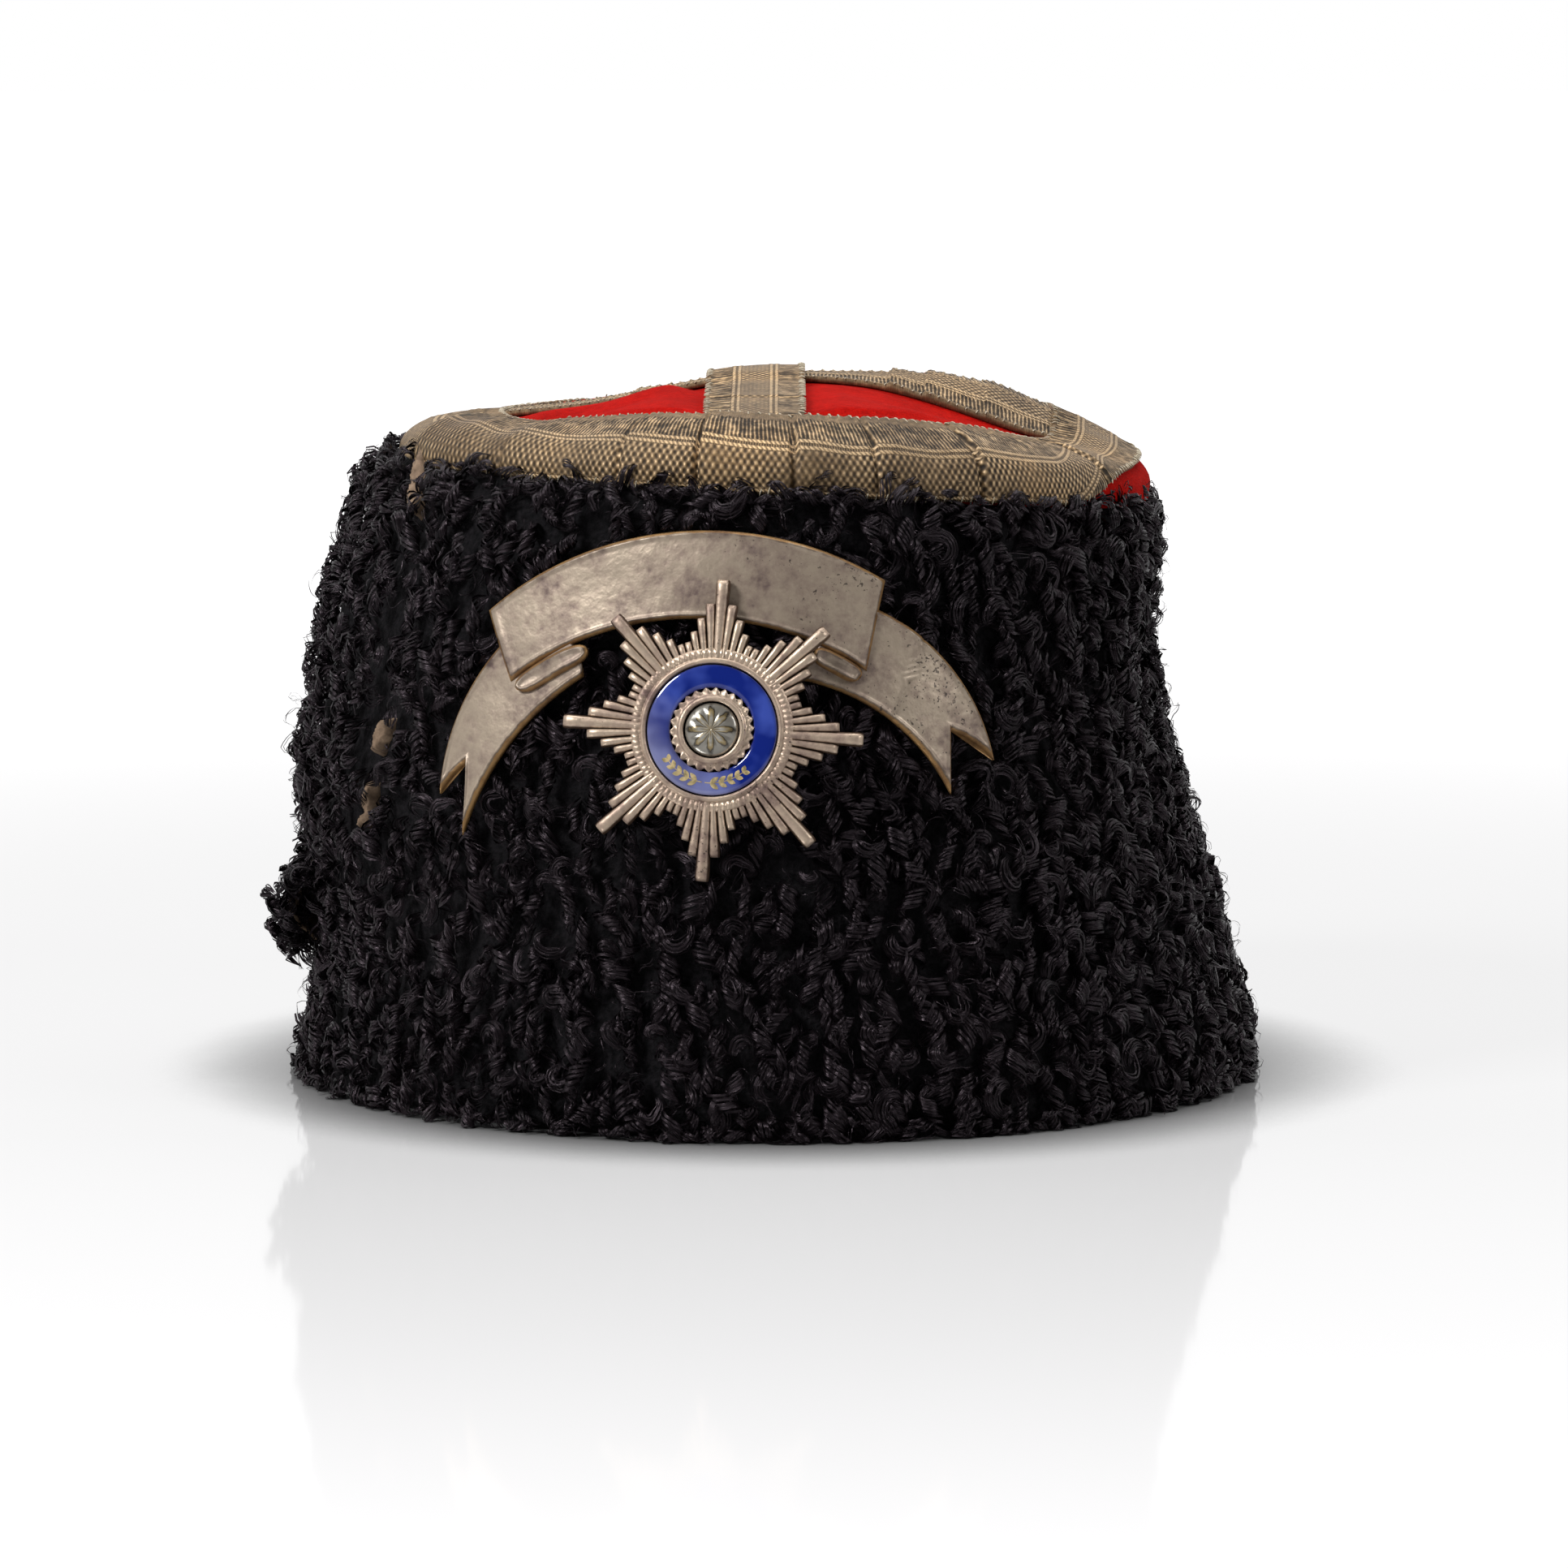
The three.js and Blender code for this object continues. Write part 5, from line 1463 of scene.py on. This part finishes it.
# The painted sprig: the angle of its middle, its radius and height, and the leaves on each side
SPRIG_MIDDLE = -98
SPRIG_RADIUS = 10.4
SPRIG_HEIGHT = 2.43
SPRIG_LEAVES = 5


def sprig():
    """A small painted laurel of paired leaves on the enamel."""
    share = np.linspace(0, 1, 7)[:, None]
    side = np.linspace(-1, 1, 3)[None, :]
    leaves = []
    for hand in (-1, 1):
        for leaf in range(SPRIG_LEAVES):
            angle = math.radians(SPRIG_MIDDLE + hand * (7 + 9.5 * leaf))
            for tilt in (-0.6, 0.6):
                turn = angle + hand * math.pi / 2 + tilt * hand
                length = 2.1 - 0.15 * leaf
                half = 0.46 * np.sin(np.pi * share) ** 0.8
                along = share * length
                across = side * half
                x = SPRIG_RADIUS * math.cos(angle) + along * math.cos(turn) - across * math.sin(turn)
                y = SPRIG_RADIUS * math.sin(angle) + along * math.sin(turn) + across * math.cos(turn)
                height = SPRIG_HEIGHT + 0.07 * np.sin(np.pi * share) * (1 - np.abs(side))
                point = np.stack([x, y, height], axis=-1)
                quads, places = grid_quads(7, 3)
                leaves.append((point.reshape(-1, 3), quads, places * 0.3))
        angle = np.radians(SPRIG_MIDDLE + hand * np.linspace(1.5, 47, 16))[:, None]
        reach = SPRIG_RADIUS + 0.09 * side
        height = np.full_like(reach + angle, SPRIG_HEIGHT + 0.02)
        stem = np.stack([reach * np.cos(angle), reach * np.sin(angle), height], axis=-1)
        quads, places = grid_quads(16, 3)
        leaves.append((stem.reshape(-1, 3), quads, places * 0.3))
    return joined(leaves)


SILVER_TONES = ((0.36, (0.20, 0.145, 0.13)), (0.46, (0.42, 0.34, 0.272)), (0.56, (0.59, 0.50, 0.39)))
PIT_COLOUR = (0.035, 0.025, 0.022)
# The enamel has a painted pale reflection at its lower left: shares for each metre across and up, and in its
# middle
REFLECTION_SLOPE = -28.0
REFLECTION_MIDDLE = 1.9
PAINTED_REFLECTION_COLOUR = (0.34, 0.35, 0.52)
ROSETTE_TONES = (
    (0.0, (0.34, 0.32, 0.28)),
    (0.16, (0.05, 0.04, 0.03)),
    (0.3, (0.40, 0.30, 0.14)),
    (0.55, (0.62, 0.60, 0.55)),
    (0.85, (0.34, 0.24, 0.1)),
)


def silver_material(name, edge_colour, pitted, tint, metallic):
    """Tarnished silver; the first texture coordinate is the distance from an edge or groove, where
    edge_colour tints it: gilt on the scroll, a dark brown in the star's grooves.
    """
    material, tree, shader = new_material(name)
    place = object_place(tree)
    off_edge = parts_of(tree, texture_place(tree))["X"]
    cloud = noise_of(tree, place, 95.0, 5.0, 0.62)
    fine = noise_of(tree, place, 520.0, 4.0, 0.6)
    mottle = scaled(tree, fine, 0.3, calc(tree, "MULTIPLY", cloud, 0.7))
    tone = ramp(tree, mottle, *((at, np.multiply(tint, colour)) for at, colour in SILVER_TONES))
    edge = scaled(tree, fine, 0.7, calc(tree, "SUBTRACT", off_edge, 0.35))
    rim = ramp(tree, edge, (0.12, edge_colour), (0.42, edge_colour), (0.6, (0.42, 0.4, 0.38)), (0.95, 1.0))
    aged = blend_colours(tree, 1.0, tone, rim, "MULTIPLY")
    pits = scaled(tree, noise_of(tree, place, 60.0, 2.0), 0.5, noise_of(tree, place, 1500.0, 2.0))
    dots = ramp(tree, scaled(tree, parts_of(tree, place)["X"], pitted, pits), (0.97, 0.0), (1.0, 0.8))
    colour = blend_colours(tree, dots, aged, PIT_COLOUR)
    rough = ramp(tree, mottle, (0.35, 0.6), (0.6, 0.36))
    dress(tree, shader, Base_Color=colour, Roughness=rough, Metallic=metallic)
    add_bump(tree, shader, scaled(tree, fine, 0.35, noise_of(tree, place, 240.0)), 0.35, 0.0006)
    return material


def enamel_material():
    material, tree, shader = new_material("cobalt_enamel")
    place = object_place(tree)
    parts = parts_of(tree, place)
    haze = noise_of(tree, place, 130.0, 2.0)
    tone = ramp(tree, haze, (0.4, (0.006, 0.02, 0.22)), (0.62, (0.05, 0.09, 0.45)))
    # Painted reflection: a pale patch at the lower left stands in for a lamp's reflection in the enamel
    side = scaled(tree, calc(tree, "ADD", parts["X"], parts["Z"]), REFLECTION_SLOPE, REFLECTION_MIDDLE)
    painted_reflection = ramp(tree, scaled(tree, haze, 0.7, side), (0.4, 0.0), (0.8, 0.62))
    dress(tree, shader, Base_Color=blend_colours(tree, painted_reflection, tone, PAINTED_REFLECTION_COLOUR))
    dress(tree, shader, Roughness=0.12, Coat_Weight=1.0, Coat_Roughness=0.04)
    add_bump(tree, shader, haze, 0.5, 0.0006)
    return material


def dome_material():
    """A glassy dome over a rosette of eight petals."""
    material, tree, shader = new_material("glassy_rosette")
    spot = texture_place(tree)
    wheel = add_node(tree, "TexGradient", spot, gradient_type="RADIAL").outputs["Fac"]
    reach = calc(tree, "DIVIDE", length_of(tree, spot), MEDALLION_RADIUS)
    spokes = calc(tree, "ABSOLUTE", calc(tree, "COSINE", calc(tree, "MULTIPLY", wheel, FULL_TURN * 4)))
    petal = calc(tree, "SUBTRACT", calc(tree, "MULTIPLY", spokes, 0.82), reach)
    specks = scaled(tree, noise_of(tree, object_place(tree), 1100.0), 0.35, petal)
    dress(tree, shader, Base_Color=ramp(tree, specks, *ROSETTE_TONES), Metallic=0.5)
    dress(tree, shader, Roughness=0.25, Coat_Weight=1.0, Coat_Roughness=0.03)
    return material


scroll_finish = silver_material("tarnished_ribbon_silver", (0.8, 0.56, 0.27), 3.4, (0.8, 0.765, 0.75), 0.5)
star_finish = silver_material("tarnished_star_silver", (0.22, 0.17, 0.14), 0.0, (1.1, 1.02, 0.99), 0.64)
gold_finish = speckled_material(
    "painted_gold",
    (900.0,),
    ((0.35, (0.25, 0.2, 0.09)), (0.6, (0.62, 0.48, 0.24))),
    None,
    Roughness=0.4,
)


def star_pieces():
    bars, quads, uvs = star_bars()
    rim, rim_quads, rim_uvs = lathe(RIM_PROFILE, 704, beaded)
    points, quads, uvs = joined([(bars, quads, uvs), (rim, rim_quads, np.full_like(rim_uvs, 3.0))])
    make_piece("silver_star", star_place(points), quads, uvs, star_finish, "silver", "star")
    for name, profile, segments, shape, finish, slot, node in (
        ("cobalt_ring", ENAMEL_PROFILE, 160, None, enamel_material(), "enamel", "enamel_ring"),
        ("ruffled_collar", COLLAR_PROFILE, 312, ruffled, star_finish, "silver", "centre_collar"),
        ("domed_medallion", DOME_PROFILE, 128, petalled, dome_material(), "medallion", "medallion"),
    ):
        points, quads, uvs = lathe(profile, segments, shape)
        uvs = uvs if slot == "medallion" else np.full_like(uvs, 3.0)
        make_piece(name, star_place(points), quads, uvs, finish, slot, node)
    points, quads, uvs = sprig()
    make_piece("painted_sprig", star_place(points), quads, uvs, gold_finish, "enamel")


scroll_piece()
star_pieces()


# The stage

FLOOR_SIZE = 400.0
FLOOR_FADE_START = -0.1
FLOOR_FADE_END = -0.62
FLOOR_FAR = (0.25, 1.2)
FLOOR_MIRROR = 0.37
FLOOR_GLOW = 0.8
# How far and how strongly the painted contact shadow darkens the floor's glow
CONTACT_SHADOW_REACH = 0.034
CONTACT_SHADOW_POWER = 5.0
FLOOR_CAST = 0.3
WORLD_FRONT = 0.03
WORLD_BEHIND = 0.86
# Each lamp's place and size in metres, and its power
LIGHTS = (
    ("key_left", (-0.95, -0.75, 0.95), (0.4, 0.4), 16.5),
    ("fill_right", (1.05, -0.6, 0.75), (0.35, 0.5), 4.8),
    ("top", (0, 0.15, 1.25), (1.2, 0.8), 9),
)


def floor_material():
    """Pale gloss: it mirrors the hat, and less so towards its front. It glows white, dimmer near the hat,
    where ambient occlusion darkens the glow as a painted contact shadow.
    """
    material = bpy.data.materials.new("pale_floor")
    material.use_nodes = True
    tree = material.node_tree
    tree.nodes.clear()
    place = object_place(tree)
    near = map_range(tree, parts_of(tree, place)["Y"], FLOOR_FADE_END, FLOOR_FADE_START, 0.0, FLOOR_MIRROR)
    far = map_range(tree, length_of(tree, place), *FLOOR_FAR, kind="SMOOTHSTEP")
    share = calc(tree, "MULTIPLY", near, calc(tree, "SUBTRACT", 1.0, far))
    mirror = add_node(tree, "BsdfGlossy", Roughness=0.06)
    lit = add_node(tree, "BsdfDiffuse", Color=(0.2, 0.2, 0.2))
    seen = add_node(tree, "LightPath").outputs["Is Camera Ray"]
    strength = blend_values(tree, seen, FLOOR_CAST, scaled(tree, far, 1.05 - FLOOR_GLOW, FLOOR_GLOW))
    # Painted contact shadow: ambient occlusion near the hat darkens the floor's glow
    contact = add_node(tree, "AmbientOcclusion", Distance=CONTACT_SHADOW_REACH).outputs["AO"]
    strength = calc(tree, "MULTIPLY", strength, calc(tree, "POWER", contact, CONTACT_SHADOW_POWER))
    glow = add_node(tree, "Emission", Color=(1.0, 0.995, 1.0), Strength=strength)
    pale = add_node(tree, "AddShader", lit.outputs[0], glow.outputs[0])
    blend = add_node(tree, "MixShader", share, pale.outputs[0], mirror.outputs[0])
    add_node(tree, "OutputMaterial", blend.outputs[0])
    return material


def make_stage():
    """The floor is one triangle, since an edge across it would show in its contact shade."""
    mesh = bpy.data.meshes.new("floor")
    corners = [(-FLOOR_SIZE, -FLOOR_SIZE, 0), (FLOOR_SIZE, -FLOOR_SIZE, 0), (0, FLOOR_SIZE, 0)]
    mesh.from_pydata(corners, [], [(0, 1, 2)])
    floor = bpy.data.objects.new("floor", mesh)
    mesh.materials.append(floor_material())
    scene.collection.objects.link(floor)


def make_lights():
    centre = Vector((0, 0, 0.08))
    for name, place, size, power in LIGHTS:
        light = bpy.data.lights.new(name, "AREA")
        light.shape = "RECTANGLE"
        light.size, light.size_y = size
        light.energy = power
        lamp = bpy.data.objects.new(name, light)
        lamp.location = place
        lamp.rotation_euler = (centre - Vector(place)).to_track_quat("-Z", "Y").to_euler()
        scene.collection.objects.link(lamp)


def make_world():
    """White behind the hat and above it, darker in front, and white for the camera."""
    world = bpy.data.worlds.new("studio")
    world.use_nodes = True
    tree = world.node_tree
    way = parts_of(tree, add_node(tree, "TexCoord").outputs["Generated"])
    behind = map_range(tree, way["Y"], -0.35, 0.75, WORLD_FRONT, WORLD_BEHIND, "SMOOTHSTEP")
    seen = add_node(tree, "LightPath").outputs["Is Camera Ray"]
    background = tree.nodes["Background"]
    dress(tree, background, Color=(1, 1, 1), Strength=blend_values(tree, seen, behind, 1.0))
    scene.world = world
    scene.view_settings.view_transform = "Standard"


def make_camera():
    aim = Vector(CAMERA_AIM) * MM
    back = Vector((0, -math.cos(CAMERA_ELEVATION), math.sin(CAMERA_ELEVATION)))
    camera = bpy.data.objects.new("camera", bpy.data.cameras.new("camera"))
    camera.location = aim + back * CAMERA_DISTANCE * MM
    camera.rotation_euler = (-back).to_track_quat("-Z", "Y").to_euler()
    camera.data.lens = CAMERA_LENS
    camera.data.sensor_width = 36
    camera.data.clip_end = 1000
    scene.collection.objects.link(camera)
    scene.camera = camera


make_stage()
make_lights()
make_world()
make_camera()
